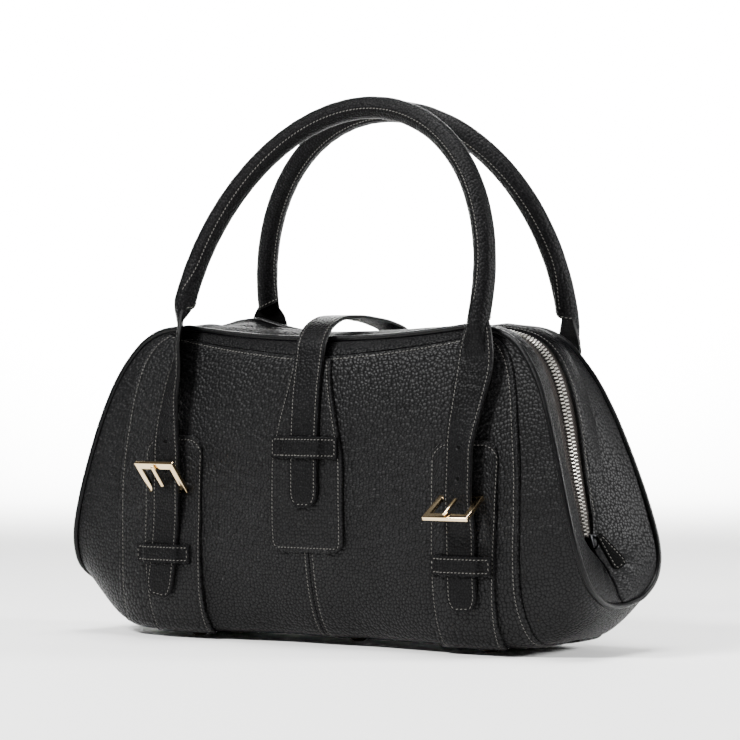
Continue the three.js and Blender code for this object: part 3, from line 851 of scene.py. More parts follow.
class Sheet:
    """A sheet of leather over a grid of points, with its reach from each edge and its relief."""

    def __init__(self, points: Array, outside: Array) -> None:
        """Measures the sheet.

        Args:
            points: Grid of points, across by along by 3.
            outside: Direction, or grid of directions, on the outer side.
        """
        self.points = points
        across = np.gradient(points, axis=0)
        along = np.gradient(points, axis=1)
        normals = unit(np.cross(across, along))
        self.turned = float(np.sign((normals * outside).sum(-1).mean()))
        self.normals = normals * self.turned
        step_a = np.linalg.norm(np.diff(points, axis=0), axis=-1)
        step_b = np.linalg.norm(np.diff(points, axis=1), axis=-1)
        near = np.concatenate([np.zeros((1, points.shape[1])), np.cumsum(step_a, axis=0)])
        top = np.concatenate([np.zeros((points.shape[0], 1)), np.cumsum(step_b, axis=1)], axis=1)
        self.reach = {
            Edge.NEAR: near,
            Edge.FAR: near[-1:] - near,
            Edge.TOP: top,
            Edge.FOOT: top[:, -1:] - top,
        }
        self.relief = np.zeros(points.shape[:2])

    @classmethod
    def over(
        cls,
        surface: Callable[[Array, Array], Array],
        across: Array,
        along: Array,
        outside: Callable[[Array], Array],
    ) -> "Sheet":
        """A sheet over a surface of two shares.

        Args:
            surface: Gives the points for grids of shares.
            across: Shares across the sheet.
            along: Shares along it.
            outside: Gives the directions on the outer side for points.

        Returns:
            The sheet.
        """
        points = surface(*np.meshgrid(across, along, indexing="ij"))
        return cls(points, outside(points))

    def level_ends(self) -> "Sheet":
        """Measures from the top and the foot by whole rows, for an end that is cut round."""
        for edge in ENDS:
            middle = self.reach[edge][len(self.points) // 2]
            self.reach[edge] = np.repeat(middle[None], len(self.points), axis=0)
        return self

    def roll(self, radius: float, drop: float, *edges: Edge) -> "Sheet":
        """Turns edges down in a round.

        Args:
            radius: How far in the round starts.
            drop: How far the very edge goes down.
            edges: Which edges.

        Returns:
            The same sheet.
        """
        for edge in edges:
            out = np.clip((radius - self.reach[edge]) / radius, 0.0, 1.0)
            self.relief -= drop * (1.0 - np.sqrt(1.0 - out**2))
        return self

    def groove(self, inset: float, depth: float, width: float, *edges: Edge) -> "Sheet":
        """Presses a soft line along edges, as a row of stitches does.

        Args:
            inset: Distance of the line from the edge.
            depth: How deep it is.
            width: Half of its width.
            edges: Which edges.

        Returns:
            The same sheet.
        """
        for edge in edges:
            self.relief -= depth * np.exp(-(((self.reach[edge] - inset) / width) ** 2))
        return self

    def undulate(self, height: float, length: float) -> "Sheet":
        """Gives the leather the slow unevenness of a hide that has been filled and handled.

        Args:
            height: Height of the unevenness.
            length: Its length.

        Returns:
            The same sheet.
        """
        k = 2.0 * np.pi / length
        x, y, z = np.moveaxis(self.points, -1, 0)
        wave = np.sin(k * (0.9 * x + 0.5 * z) + 0.7) * np.sin(k * (0.6 * z - 0.4 * x) + 0.4 * y * k + 1.9)
        wave += 0.5 * np.sin(k * 1.7 * (x - 0.3 * z) + 2.2) * np.sin(k * 1.3 * (z + 0.2 * x) + 0.3)
        self.relief += height * wave
        return self

    def skin(self, lift: Lift) -> Array:
        """Outer points of the sheet when it is lifted off its surface."""
        return self.points + self.normals * (self.relief + lift)[..., None]

    def line(
        self, edge: Edge, inset: float, lift: Lift, clear: Optional[dict[Edge, float]] = None
    ) -> SewLine:
        """A line on the outer skin that keeps a distance from an edge.

        Args:
            edge: The edge that it follows.
            inset: Its distance from the edge.
            lift: Lift of the skin.
            clear: Other edges, with the distance from them that the line keeps.

        Returns:
            The line.
        """
        outer = self.skin(lift)
        turned = edge in SIDES

        def lines(grid: Array) -> Array:
            """The grid with one row for each place along the edge."""
            return np.swapaxes(grid, 0, 1) if turned else grid

        reach = lines(self.reach[edge])
        grids = [lines(outer), lines(self.normals)]
        others = [(lines(self.reach[e]), limit) for e, limit in (clear or {}).items()]
        points, normals = [], []
        for k in range(reach.shape[0]):
            order = np.argsort(reach[k])
            place = np.interp(inset, reach[k][order], order.astype(float))
            low = min(int(place), reach.shape[1] - 2)
            share = place - low
            if any(lerp(r[k, low], r[k, low + 1], share) < limit for r, limit in others):
                continue
            points.append(lerp(grids[0][k, low], grids[0][k, low + 1], share))
            normals.append(lerp(grids[1][k, low], grids[1][k, low + 1], share))
        return SewLine(np.array(points), np.array(normals))

    def wall(
        self,
        name: str,
        lift: Lift,
        thick: float,
        leather: Finish,
        edge: Finish,
        lining: Optional[Finish] = None,
    ) -> Piece:
        """Makes the sheet a closed wall.

        Args:
            name: Name of the piece.
            lift: Lift of the outer skin off the surface.
            thick: Thickness of the leather.
            leather: Finish of its outer skin.
            edge: Finish of its cut edges.
            lining: Finish of its inner skin, or None for the same as the outer.

        Returns:
            The piece.
        """
        n, m = self.points.shape[:2]
        outer = self.skin(lift)
        inner = self.points + self.normals * (np.zeros((n, m)) + lift - thick)[..., None]
        points = np.concatenate([outer.reshape(-1, 3), inner.reshape(-1, 3)])
        number = np.arange(n * m).reshape(n, m)
        under = number + n * m
        quads = np.stack([number[:-1, :-1], number[1:, :-1], number[1:, 1:], number[:-1, 1:]], axis=-1)
        back = np.stack([under[:-1, :-1], under[:-1, 1:], under[1:, 1:], under[1:, :-1]], axis=-1)
        border = np.concatenate([number[:, 0], number[-1, 1:], number[-2::-1, -1], number[0, -2::-1]])
        rim = np.stack([border[:-1], border[:-1] + n * m, border[1:] + n * m, border[1:]], axis=-1)
        faces = np.concatenate([quads.reshape(-1, 4), back.reshape(-1, 4), rim])
        if self.turned < 0:
            faces = faces[:, ::-1]
        index = np.zeros(len(faces), dtype=np.int32)
        index[len(faces) - len(rim) :] = 1
        if lining is not None:
            index[len(quads.reshape(-1, 4)) : len(faces) - len(rim)] = 2
        wide = self.reach[Edge.NEAR]
        long = self.reach[Edge.TOP].mean(axis=0, keepdims=True)
        flat = np.stack([wide - wide[-1:] / 2.0, long + 0.0 * wide], axis=-1).reshape(-1, 2)
        hide = np.concatenate([flat, flat])[faces.ravel()]
        return make_piece(name, points, faces.tolist(), [leather, edge, lining or leather], index, hide=hide)


@dataclass(frozen=True)
class BodyForm:
    """The bag's skin, from the same sections as its solids."""

    columns: tuple[str, ...] = (
        "centre_y", "centre_z", "seam_x", "edge_x", "edge_y", "edge_z", "zip_x", "zip_z", "corner",
    )
    rows: tuple[tuple[float, ...], ...] = (
        (46, 206.5, 104, 110, 41, 214.5, 104, 215, 0),
        (49, 203, 124, 132, 41, 212, 123.5, 211.5, 0),
        (53, 197.5, 138, 147, 41.5, 205, 138, 205.5, 0),
        (57.5, 185, 147, 158, 43.5, 193.5, 149.5, 194, 0),
        (61, 165, 152.5, 168.5, 46.5, 177, 158, 177, 0),
        (63, 140, 156.5, 178, 50.5, 154, 164, 154, 0),
        (63.5, 112, 160, 187, 54, 126, 169, 126, 0),
        (63, 84, 161, 195, 56.5, 97, 175, 97, 0),
        (60.5, 57, 161, 201.5, 55.5, 70, 180.5, 72, 0.2),
        (55, 33, 162, 204.5, 47, 50, 192, 57, 0.6),
        (46.5, 15, 165, 204.5, 30, 38, 198.5, 46, 0.9),
        (35, 6.5, 168, 203, 13, 33.5, 201, 38.5, 1),
        (0, 5.5, 170, 202.5, 0, 32.5, 202, 34, 1),
    )
    face_bow: float = 1.6
    base_bow: float = 9.0
    top_bow: float = 2.0
    base_flat: float = 140.0
    base_lift_power: float = 3.0
    base_full: tuple[float, float, float, float] = (9.0, 30.0, 110.0, 140.0)
    settled_front_left: float = 3.5
    settled_back_right: float = 9.0
    settled_back_left_up: float = 6.0
    settled_from: float = 60.0
    settled_to: float = 190.0
    settled_x: float = 110.0
    settled_y: float = 41.0
    top_zip_z: float = 211.0
    zip_turn: float = 32.0
    middle: tuple[float, float, float] = (0.0, 0.0, 110.0)

    @property
    def last(self) -> float:
        """Position of the last section, in the middle of the base."""
        return float(len(self.rows) - 1)

    def value(self, name: str, v: Array) -> Array:
        """Value of a column at section positions."""
        column = np.array(self.rows, dtype=float)[:, self.columns.index(name)]
        return table_value(column, np.asarray(v, dtype=float))

    def skin(self, sign: Union[float, Array], x: Array, v: Array) -> Array:
        """Points of the body's skin.

        Args:
            sign: -1 for the front, 1 for the back.
            x: Widths.
            v: Section positions.

        Returns:
            The points.
        """
        x, v = np.broadcast_arrays(np.asarray(x, dtype=float), np.asarray(v, dtype=float))
        edge = self.value("edge_x", v)
        share = np.clip(np.abs(x) / edge, 0.0, 1.0)
        corner = np.clip(self.value("corner", v), 0.0, 1.0)
        bow = lerp(self.face_bow, self.base_bow, corner)
        depth, rises, full, until = self.base_full
        span = np.abs(x)
        fuller = smooth((span - rises) / (full - rises)) * (1.0 - smooth((span - until) / (edge - until)))
        y = lerp(self.value("centre_y", v), self.value("edge_y", v), share**bow) + depth * corner * fuller
        rounded = np.clip((span - self.base_flat) / (edge - self.base_flat), 0.0, 1.0)
        lift = lerp(share**self.top_bow, rounded**self.base_lift_power, corner)
        z = lerp(self.value("centre_z", v), self.value("edge_z", v), lift)
        return np.stack([x, sign * y, z], axis=-1)

    def level(self, x: Array, z: Array) -> Array:
        """Section positions of heights at widths."""
        x, z = np.broadcast_arrays(np.asarray(x, dtype=float), np.asarray(z, dtype=float))
        high = np.zeros(x.shape)
        low = np.full(x.shape, self.last)
        for _ in range(34):
            half = (high + low) / 2.0
            above = self.skin(-1.0, x, half)[..., 2] > z
            high = np.where(above, half, high)
            low = np.where(above, low, half)
        return (high + low) / 2.0

    def on_face(self, face: Face, x: Array, z: Array) -> Array:
        """Points of a face at widths and heights."""
        return self.skin(face.value, x, self.level(x, z))

    def settled(self, points: Array) -> Array:
        """Points after the soft top corners have settled: two of them sideways and one upwards."""
        x, y, z = np.moveaxis(points, -1, 0)
        height = np.clip((z - self.settled_from) / (self.settled_to - self.settled_from), 0.0, 1.0)
        corner = x * y / (self.settled_x * self.settled_y)
        most = np.where(y < 0, self.settled_front_left, self.settled_back_right)
        aside = most * np.clip(corner, 0.0, 1.0) ** 2
        up = np.where(y > 0, self.settled_back_left_up, 0.0) * np.clip(-corner, 0.0, 1.0) ** 4
        return np.stack([x - aside * height, y, z + up * height], axis=-1)

    def rim_edge(self, face: Face, k: Array) -> Array:
        """Piping at stations: 0 in the middle of the top, 1 where the ends turn down, then each section."""
        k = np.asarray(k, dtype=float)
        size = np.abs(k)
        side = np.where(k < 0, -1.0, 1.0)
        v = np.maximum(size - 1.0, 0.0)
        out = side * self.value("edge_x", v)
        end = np.stack([out, face.value * self.value("edge_y", v), self.value("edge_z", v)], axis=-1)
        top_x = side * np.minimum(size, 1.0) * self.value("edge_x", np.zeros_like(size))
        top = self.skin(face.value, top_x, np.zeros_like(size))
        return np.where((size < 1.0)[..., None], top, end)

    def rim_zip(self, k: Array) -> Array:
        """Middle of the zip at the same stations."""
        k = np.asarray(k, dtype=float)
        size = np.abs(k)
        side = np.where(k < 0, -1.0, 1.0)
        v = np.maximum(size - 1.0, 0.0)
        reach = np.minimum(size, 1.0)
        x = side * reach * self.value("zip_x", v)
        top_z = lerp(self.top_zip_z, self.value("zip_z", np.zeros_like(size)), reach**2)
        z = np.where(size < 1.0, top_z, self.value("zip_z", v))
        return np.stack([x, np.zeros_like(x), z], axis=-1)

    def zip_across(self, k: Array) -> Array:
        """Way across the zip from front to back, turned to the front where the ends hang down."""
        size = np.abs(np.asarray(k, dtype=float))
        side = np.where(np.asarray(k) < 0, -1.0, 1.0)
        low = 1.0 - 0.85 * smooth((size - 5.5) / 3.2)
        turn = math.radians(self.zip_turn) * smooth((size - 0.6) / 3.0) * low
        return np.stack([side * np.sin(turn), np.cos(turn), np.zeros_like(turn)], axis=-1)

    def away(self, points: Array) -> Array:
        """Directions from the middle of the bag to points."""
        return points - np.array(self.middle)


def even_rows(path: Callable[[Array], Array], first: float, end: float, shares: Array) -> Array:
    """Values of a path's parameter that lie at shares of its length.

    Args:
        path: Gives points for parameter values.
        first: First parameter value.
        end: Last parameter value.
        shares: Shares of the length.

    Returns:
        One parameter value for each share.
    """
    dense = np.linspace(first, end, 600)
    length = run_length(path(dense))
    return np.interp(shares * length[-1], length, dense)


def tube_faces(rings: int, sides: int, closed: bool) -> list[list[int]]:
    """Faces of a tube of rings of vertices.

    Args:
        rings: Number of rings.
        sides: Vertices in each ring.
        closed: Whether the last ring joins the first.

    Returns:
        The faces, with caps on an open tube.
    """
    faces = []
    for i in range(rings if closed else rings - 1):
        a, b = i * sides, ((i + 1) % rings) * sides
        for k in range(sides):
            n = (k + 1) % sides
            faces.append([a + k, b + k, b + n, a + n])
    if not closed:
        faces.append(list(range(sides)))
        faces.append([(rings - 1) * sides + k for k in reversed(range(sides))])
    return faces


def tube_hide(centres: Array, sides: int, girth: float, closed: bool) -> Array:
    """Places of a tube's face corners on the flat hide, in the order of tube_faces.

    Args:
        centres: Middle of each ring.
        sides: Vertices in each ring.
        girth: Length round the tube.
        closed: Whether the last ring joins the first.

    Returns:
        One row for each face corner.
    """
    length = run_length(np.vstack([centres, centres[:1]]) if closed else centres)
    rows = np.arange(len(length) - 1)
    i, k = np.meshgrid(rows, np.arange(sides), indexing="ij")
    step = girth / sides
    u = np.stack([k, k, k + 1, k + 1], axis=-1) * step
    v = np.stack([length[i], length[i + 1], length[i + 1], length[i]], axis=-1)
    corners = np.stack([u, v], axis=-1).reshape(-1, 2)
    return corners if closed else np.concatenate([corners, np.zeros((2 * sides, 2))])


@dataclass
class Work:
    """What a sub-assembly is made with: the bag's skin, its finishes and the thread that sews it."""

    form: BodyForm
    finishes: Finishes
    thread: Thread

    def cut(
        self,
        sheet: Sheet,
        node: str,
        slot: Slot,
        lift: Lift,
        thick: float,
        leather: Finish,
        lining: Optional[Finish] = None,
    ) -> None:
        """Makes a sheet a closed wall with painted edges, in place of one solid.

        Args:
            sheet: The sheet.
            node: Name of the solid.
            slot: The record's slot for its finish; only passed on to settle, which does not use it.
            lift: Lift of the outer skin off the surface.
            thick: Thickness of the leather.
            leather: Finish of its outer skin.
            lining: Finish of its inner skin, or None for the same as the outer.
        """
        made = sheet.wall(f"{node}_leather", lift, thick, leather, self.finishes.edge, lining)
        settle(made, slot, node)

    def sew(
        self,
        sheet: Sheet,
        inset: float,
        lift: Lift,
        clear: dict[Edge, float],
        *edges: Edge,
    ) -> None:
        """Sews along edges of a sheet.

        Args:
            sheet: The sheet.
            inset: Distance of the stitches from the edge.
            lift: Lift of the skin.
            clear: Other edges, with the distance from them that the stitches keep.
            edges: Which edges.
        """
        for edge in edges:
            self.thread.sew(sheet.line(edge, inset, lift, clear))

    def build_bridge(
        self,
        name: str,
        face: Face,
        middle_x: float,
        spread: tuple[float, float, float],
        thick: float,
        rise: tuple[float, float, float, float],
    ) -> None:
        """A band sewn down at both ends that arches over a strap.

        Args:
            name: Name of the solid.
            face: Face that it is on.
            middle_x: Width of its middle.
            spread: Half of its length, and its lower and upper height on the bag.
            thick: Thickness of the leather.
            rise: Height of its feet and of its arch off the bag, and where the arch and the feet begin.
        """
        half, low_z, high_z = spread
        foot, arch, flat, ramp = rise
        dx = np.unique(np.concatenate([np.linspace(-half, half, 45), [-half + 0.4, half - 0.4]]))
        b = spaced(14, 0.6)
        x = middle_x + dx[:, None] + np.zeros((1, len(b)))
        z = lerp(high_z, low_z, b)[None, :] + np.zeros((len(dx), 1))
        points = self.form.on_face(face, x, z)
        sheet = Sheet(points, self.form.away(points))
        under = lerp(arch, foot, smooth((np.abs(dx) - flat) / (ramp - flat)))
        lift = under[:, None] + np.zeros((1, len(b))) + thick
        sheet.groove(2.0, 0.25, 0.8, *ENDS).roll(0.9, 0.8, *ENDS, *SIDES)
        self.cut(sheet, name, Slot.SMOOTH, lift, thick, self.finishes.strap)
        self.sew(sheet, 2.0, lift, dict.fromkeys(SIDES, 1.5), *ENDS)
        self.sew(sheet, 1.8, lift, dict.fromkeys(ENDS, 2.0), *SIDES)


@dataclass
class Shell(Work):
    """The body: sewn faces, facings, wings, piping and the gussets either side of the zip."""

    thick: float = 2.0
    panel_proud: float = 1.0
    panel_top_middle: float = 2.3
    panel_top_side: float = 1.15
    panel_top_power: float = 1.3
    panel_inset: float = 3.0
    panel_side_inset: float = 4.4
    seam_gap: float = 0.02
    piping_radius: float = 2.0
    piping_sides: int = 14
    from_piping: float = 1.4
    facing_top: float = 0.45
    gusset_puff: float = 2.5
    gusset_end: float = 11.5
    gusset_inset: float = 2.6
    gather_z: float = 66.0
    gather_reach: float = 17.0
    gather_wide: float = 9.0
    gather_high: float = 0.7
    gathers_round: float = 11.0
    zip_edge: float = 8.0
    zip_seam: float = 0.3
    zip_closes: tuple[float, float] = (7.3, 8.5)

    def panel_top(self, share: Array) -> Array:
        """Section at which the panel's dipping top edge lies, at a share of its width."""
        return lerp(self.panel_top_middle, self.panel_top_side, np.abs(share) ** self.panel_top_power)

    def build(self) -> None:
        """Builds every piece of the body."""
        for face in Face:
            for side in Side:
                self.build_panel(face, side)
            self.build_facing(face)
            self.build_gusset(face)
        for side in Side:
            self.build_wing(side)
        self.build_piping()

    def build_panel(self, face: Face, side: Side) -> None:
        """Half of a face, from its dipping top edge to the middle of the base."""
        form = self.form
        end = form.last - 0.03
        rows = even_rows(
            lambda v: form.skin(face.value, np.full_like(v, 80.0), v),
            self.panel_top_side,
            end,
            spaced(140, 0.55),
        )
        along = (rows - rows[0]) / (rows[-1] - rows[0])

        def surface(a: Array, b: Array) -> Array:
            """Points of the panel."""
            v = lerp(self.panel_top(a), end, b)
            x = lerp(self.seam_gap / 2.0, form.value("seam_x", v) - self.seam_gap / 2.0, a)
            return form.settled(form.skin(face.value, side.value * x, v))

        sheet = Sheet.over(surface, spaced(84, 0.7), along, form.away)
        sheet.undulate(0.35, 95.0)
        inset, side_inset, lift = self.panel_inset, self.panel_side_inset, self.panel_proud
        sheet.groove(inset, 0.45, 1.3, Edge.TOP, Edge.NEAR).groove(side_inset, 0.5, 1.5, Edge.FAR)
        sheet.roll(1.6, 1.2, Edge.TOP, Edge.FAR).roll(1.4, 1.0, Edge.NEAR)
        node = f"{face.label}_panel_{side.label}"
        self.cut(sheet, node, Slot.GRAINED, lift, self.thick, self.finishes.grained)
        self.sew(sheet, inset, lift, {Edge.FAR: 6.0, Edge.NEAR: 1.0}, Edge.TOP)
        self.sew(sheet, side_inset, lift, {Edge.TOP: 3.0, Edge.FOOT: 1.0}, Edge.FAR)
        self.sew(sheet, inset, lift, {Edge.TOP: 5.0, Edge.FOOT: 1.0}, Edge.NEAR)

    def build_facing(self, face: Face) -> None:
        """The smooth band between the panel's top edge and the piping."""
        form = self.form

        def surface(a: Array, b: Array) -> Array:
            """Points of the facing."""
            share = 2.0 * a - 1.0
            v = lerp(self.facing_top, self.panel_top(share) - 0.05, b)
            x = share * (form.value("seam_x", v) - self.seam_gap / 2.0)
            return form.settled(form.skin(face.value, x, v))

        sheet = Sheet.over(surface, spaced(130, 0.3), spaced(14, 0.6), form.away)
        sheet.roll(1.8, 1.4, Edge.TOP)
        self.cut(sheet, f"{face.label}_facing", Slot.SMOOTH, 0.0, self.thick, self.finishes.strap)

    def wing_edge(self, v: Array) -> Array:
        """Width at which the wing meets the piping, square to the piping's run."""
        form = self.form
        step = 0.05

        def place(at: Array) -> Array:
            """Piping at sections."""
            return form.skin(-1.0, form.value("edge_x", at), at)

        run = unit(place(v + step) - place(v - step))
        edge = form.value("edge_x", v)
        row = unit(form.skin(-1.0, edge, v) - form.skin(-1.0, edge - 1.0, v))
        square = np.linalg.norm(np.cross(run, row), axis=-1)
        return edge - self.from_piping / square

    def build_wing(self, side: Side) -> None:
        """The end of both faces between the panel and the piping, in one piece under the base."""
        form = self.form
        half = 110
        rows = even_rows(
            lambda v: form.skin(-1.0, form.value("seam_x", v) + 4.0, v),
            self.facing_top,
            form.last,
            spaced(half, 0.2),
        )
        v = np.concatenate([rows, rows[-2::-1]])
        sign = np.concatenate([np.full(half + 1, -1.0), np.ones(half)])
        across = spaced(42, 0.7)[:, None]
        near = form.value("seam_x", v) + self.seam_gap / 2.0
        x = lerp(near[None, :], self.wing_edge(v)[None, :], across)
        points = form.settled(form.skin(sign[None, :], side.value * x, np.broadcast_to(v, x.shape)))
        sheet = Sheet(points, form.away(points))
        sheet.undulate(0.4, 80.0)
        sheet.roll(2.2, 0.6, Edge.FAR).roll(1.2, 0.6, Edge.TOP, Edge.FOOT, Edge.NEAR)
        self.cut(sheet, f"wing_{side.label}", Slot.SMOOTH, 0.0, self.thick, self.finishes.wing)

    def build_piping(self) -> None:
        """The corded bead round both faces."""
        form = self.form
        path = []
        reach = 1.0 + form.last
        for face in Face:
            ends = (-reach, reach) if face is Face.FRONT else (reach, -reach)
            shares = np.linspace(0, 1, 321)[:-1]
            stations = even_rows(lambda k: form.rim_edge(face, k), ends[0], ends[1], shares)
            path.append(form.settled(form.rim_edge(face, stations)))
        centres = np.vstack(path)
        along = unit(np.roll(centres, -1, axis=0) - np.roll(centres, 1, axis=0))
        out = square_to(form.away(centres), along)
        side = np.cross(along, out)
        sides = self.piping_sides
        angles = np.arange(sides) * 2.0 * np.pi / sides
        ring = out[:, None, :] * np.cos(angles)[None, :, None]
        ring = ring + side[:, None, :] * np.sin(angles)[None, :, None]
        points = centres[:, None, :] + self.piping_radius * ring
        girth = 2.0 * np.pi * self.piping_radius
        made = make_piece(
            "piping_leather",
            points.reshape(-1, 3),
            tube_faces(len(centres), sides, True),
            [self.finishes.cord],
            hide=tube_hide(centres, sides, girth, True),
        )
        fix_normals(made)
        settle(made, Slot.SMOOTH, "piping")

    def zip_opening(self, v: Array) -> Array:
        """Distance of the leather's edge from the middle of the zip."""
        closed = smooth((v - self.zip_closes[0]) / (self.zip_closes[1] - self.zip_closes[0]))
        return lerp(self.zip_edge, self.zip_seam, closed)

    def build_gusset(self, face: Face) -> None:
        """The end and top wall between the piping and the zip, with a turned and sewn zip edge."""
        form = self.form
        reach = 1.0 + self.gusset_end
        stations = even_rows(lambda k: form.rim_edge(face, k), -reach, reach, spaced(300, 0.1))
        edge = form.rim_edge(face, stations)
        opening = self.zip_opening(np.abs(stations) - 1.0)
        inner = form.rim_zip(stations) + face.value * opening[:, None] * form.zip_across(stations)
        step = 0.05
        run = unit(form.rim_edge(face, stations + step) - form.rim_edge(face, stations - step))
        square = np.linalg.norm(np.cross(inner - edge, run), axis=-1)
        first = np.minimum(self.from_piping / square, 0.85)
        across = spaced(30, 0.6)[:, None]
        share = lerp(first[None, :], 1.0, across)[..., None]
        points = form.settled(lerp(edge[None], inner[None], share))
        sheet = Sheet(points, form.away(points))
        sheet.relief += self.gusset_puff * np.sin(np.pi * across) + np.zeros(sheet.relief.shape)
        sheet.undulate(0.3, 60.0)
        sheet.relief += self.gathers(points)
        inset = self.gusset_inset
        sheet.groove(inset, 0.35, 1.0, Edge.FAR).roll(1.4, 1.2, Edge.FAR).roll(1.6, 0.3, Edge.NEAR)
        self.cut(sheet, f"gusset_{face.label}", Slot.GRAINED, 0.0, self.thick, self.finishes.gusset)
        line = sheet.line(Edge.FAR, inset, 0.0)
        shown = np.abs(stations) < 1.0 + self.zip_closes[0]
        self.thread.sew(SewLine(line.points[shown], line.normals[shown]))

    def gathers(self, points: Array) -> Array:
        """Small folds that spread from the foot of the zip, where the leather is drawn into the seam."""
        x, y, z = np.moveaxis(points, -1, 0)
        from_end = np.hypot(y, z - self.gather_z)
        angle = np.arctan2(y, self.gather_z - z)
        fade = np.exp(-(((from_end - self.gather_reach) / self.gather_wide) ** 2))
        fade = fade * np.clip((72.0 - z) / 14.0, 0.0, 1.0)
        return self.gather_high * fade * np.sin(angle * self.gathers_round + 0.6) * (np.abs(x) > 150.0)


@dataclass
class ZipRun(Work):
    """The zip: tape, teeth, sliders and their leather pulls."""

    stop: float = 7.78
    tape_half: float = 10.0
    tape_steps: int = 240
    tape_rows: int = 9
    tape_under: float = 2.6
    tape_thick: float = 0.8
    pitch: float = 2.5
    tooth: tuple[float, float, float] = (0.9, 3.0, 1.7)
    tooth_bevel: float = 0.26
    tooth_from: float = 3.05
    chain_drop: float = 1.0
    slider_section: float = 7.92
    slider_lift: float = 1.5
    slider_size: tuple[float, float, float] = (7.0, 9.0, 3.6)
    slider_heel: float = 0.66
    pull_top: tuple[float, float, float] = (190.0, -8.5, 78.5)
    pull_end: tuple[float, float, float] = (203.5, -0.5, 57.0)
    pull_neck: float = 2.0
    pull_wide: float = 6.3
    pull_thick: float = 2.4
    pull_clear: float = 1.6
    pull_inset: float = 1.7

    def path(self, shares: Array) -> tuple[Array, Array, Array, Array]:
        """Points, directions, ways across and outward normals of the zip at shares of its length."""
        form = self.form
        reach = 1.0 + self.stop
        stations = even_rows(form.rim_zip, -reach, reach, shares)
        points = form.rim_zip(stations)
        ahead = form.rim_zip(stations + 0.02)
        along = unit(ahead - form.rim_zip(stations - 0.02))
        across = square_to(form.zip_across(stations), along)
        out = np.cross(along, across)
        return points, along, across, out * np.sign((out * form.away(points)).sum(1, keepdims=True))

    def length(self) -> float:
        """Length of the zip between its stops."""
        reach = 1.0 + self.stop
        return float(run_length(self.form.rim_zip(np.linspace(-reach, reach, 600)))[-1])

    def build(self) -> None:
        """Builds every piece of the zip."""
        self.build_tape()
        self.build_teeth()
        self.fit_sliders()

    def build_tape(self) -> None:
        """The woven tape under the teeth."""
        points, _, wide, out = self.path(np.linspace(0.0, 1.0, self.tape_steps + 1))
        across = np.linspace(-self.tape_half, self.tape_half, self.tape_rows)
        grid = points[None] + across[:, None, None] * wide[None]
        sheet = Sheet(self.form.settled(grid), np.broadcast_to(out, grid.shape))
        sheet.relief += 0.35 * np.exp(-((across / 2.0) ** 2))[:, None]
        tape = self.finishes.tape
        made = sheet.wall("zip_tape_woven", -self.tape_under, self.tape_thick, tape, tape)
        self.measure_tape(made)
        settle(made, Slot.TAPE, "zip_tape")

    def measure_tape(self, piece: Piece) -> None:
        """Gives the tape a UV map in millimetres along and across it."""
        mesh = piece.data
        far = np.linspace(0.0, self.length(), self.tape_steps + 1)
        wide = np.linspace(-self.tape_half, self.tape_half, self.tape_rows)
        u, w = np.meshgrid(far, wide)
        table = np.stack([u.ravel(), w.ravel()], axis=1)
        layer = mesh.uv_layers.new(name=TAPE_MAP)
        corner = np.zeros(len(mesh.loops), dtype=np.int32)
        mesh.loops.foreach_get("vertex_index", corner)
        layer.data.foreach_set("uv", table[corner % len(table)].astype(np.float32).ravel())

    def model_tooth(self) -> tuple[Array, list[list[int]]]:
        """One tooth: a small block with a rounded nose, modelled once.

        Returns:
            Vertices in millimetres as along, across and out, and faces.
        """
        block = add_block(self.tooth)
        with editing(block):
            bpy.ops.mesh.bevel(offset=self.tooth_bevel, segments=1)
        points = np.array([v.co[:] for v in block.data.vertices])
        faces = [list(p.vertices) for p in block.data.polygons]
        bpy.data.objects.remove(block)
        nose = points[:, 1] > 0.8
        points[nose, 0] *= 1.15
        return points, faces

    def build_teeth(self) -> None:
        """Both rows of teeth, interlocked."""
        local, faces = self.model_tooth()
        count = int(self.length() / self.pitch)
        points, every = [], []
        for row, offset in ((-1.0, 0.25), (1.0, 0.75)):
            shares = (np.arange(count) + offset) / count
            centres, along, wide, out = self.path(shares)
            basis = np.stack([along, -row * wide, out], axis=1)
            shift = np.array([0.0, -self.tooth_from + self.tooth[1] / 2.0, -self.chain_drop])
            placed = centres[:, None, :] + np.einsum("ij,njk->nik", local + shift, basis)
            base = sum(len(p) for p in points)
            points.append(self.form.settled(placed).reshape(-1, 3))
            size = len(local)
            every.extend([base + i * size + v for v in f] for i in range(count) for f in faces)
        made = make_piece("zip_teeth", np.vstack(points), every, [self.finishes.silver], angle=30.0)
        fix_normals(made)
        settle(made, Slot.ZIP, "zip_chain")

    def slider_seat(self, side: Side) -> tuple[Array, Array, Array]:
        """Place of a slider, its way up along the zip and its way out."""
        form = self.form
        v = self.slider_section
        seat = np.array([float(form.value("zip_x", v)), 0.0, float(form.value("zip_z", v))])
        above = np.array([float(form.value("zip_x", v - 0.3)), 0.0, float(form.value("zip_z", v - 0.3))])
        up = unit(above - seat)
        out = np.array([up[2], 0.0, -up[0]])
        seat = seat + np.array([self.slider_lift, 0.0, 0.0])
        mirror = np.array([side.value, 1.0, 1.0])
        return seat * mirror, up * mirror, out * mirror

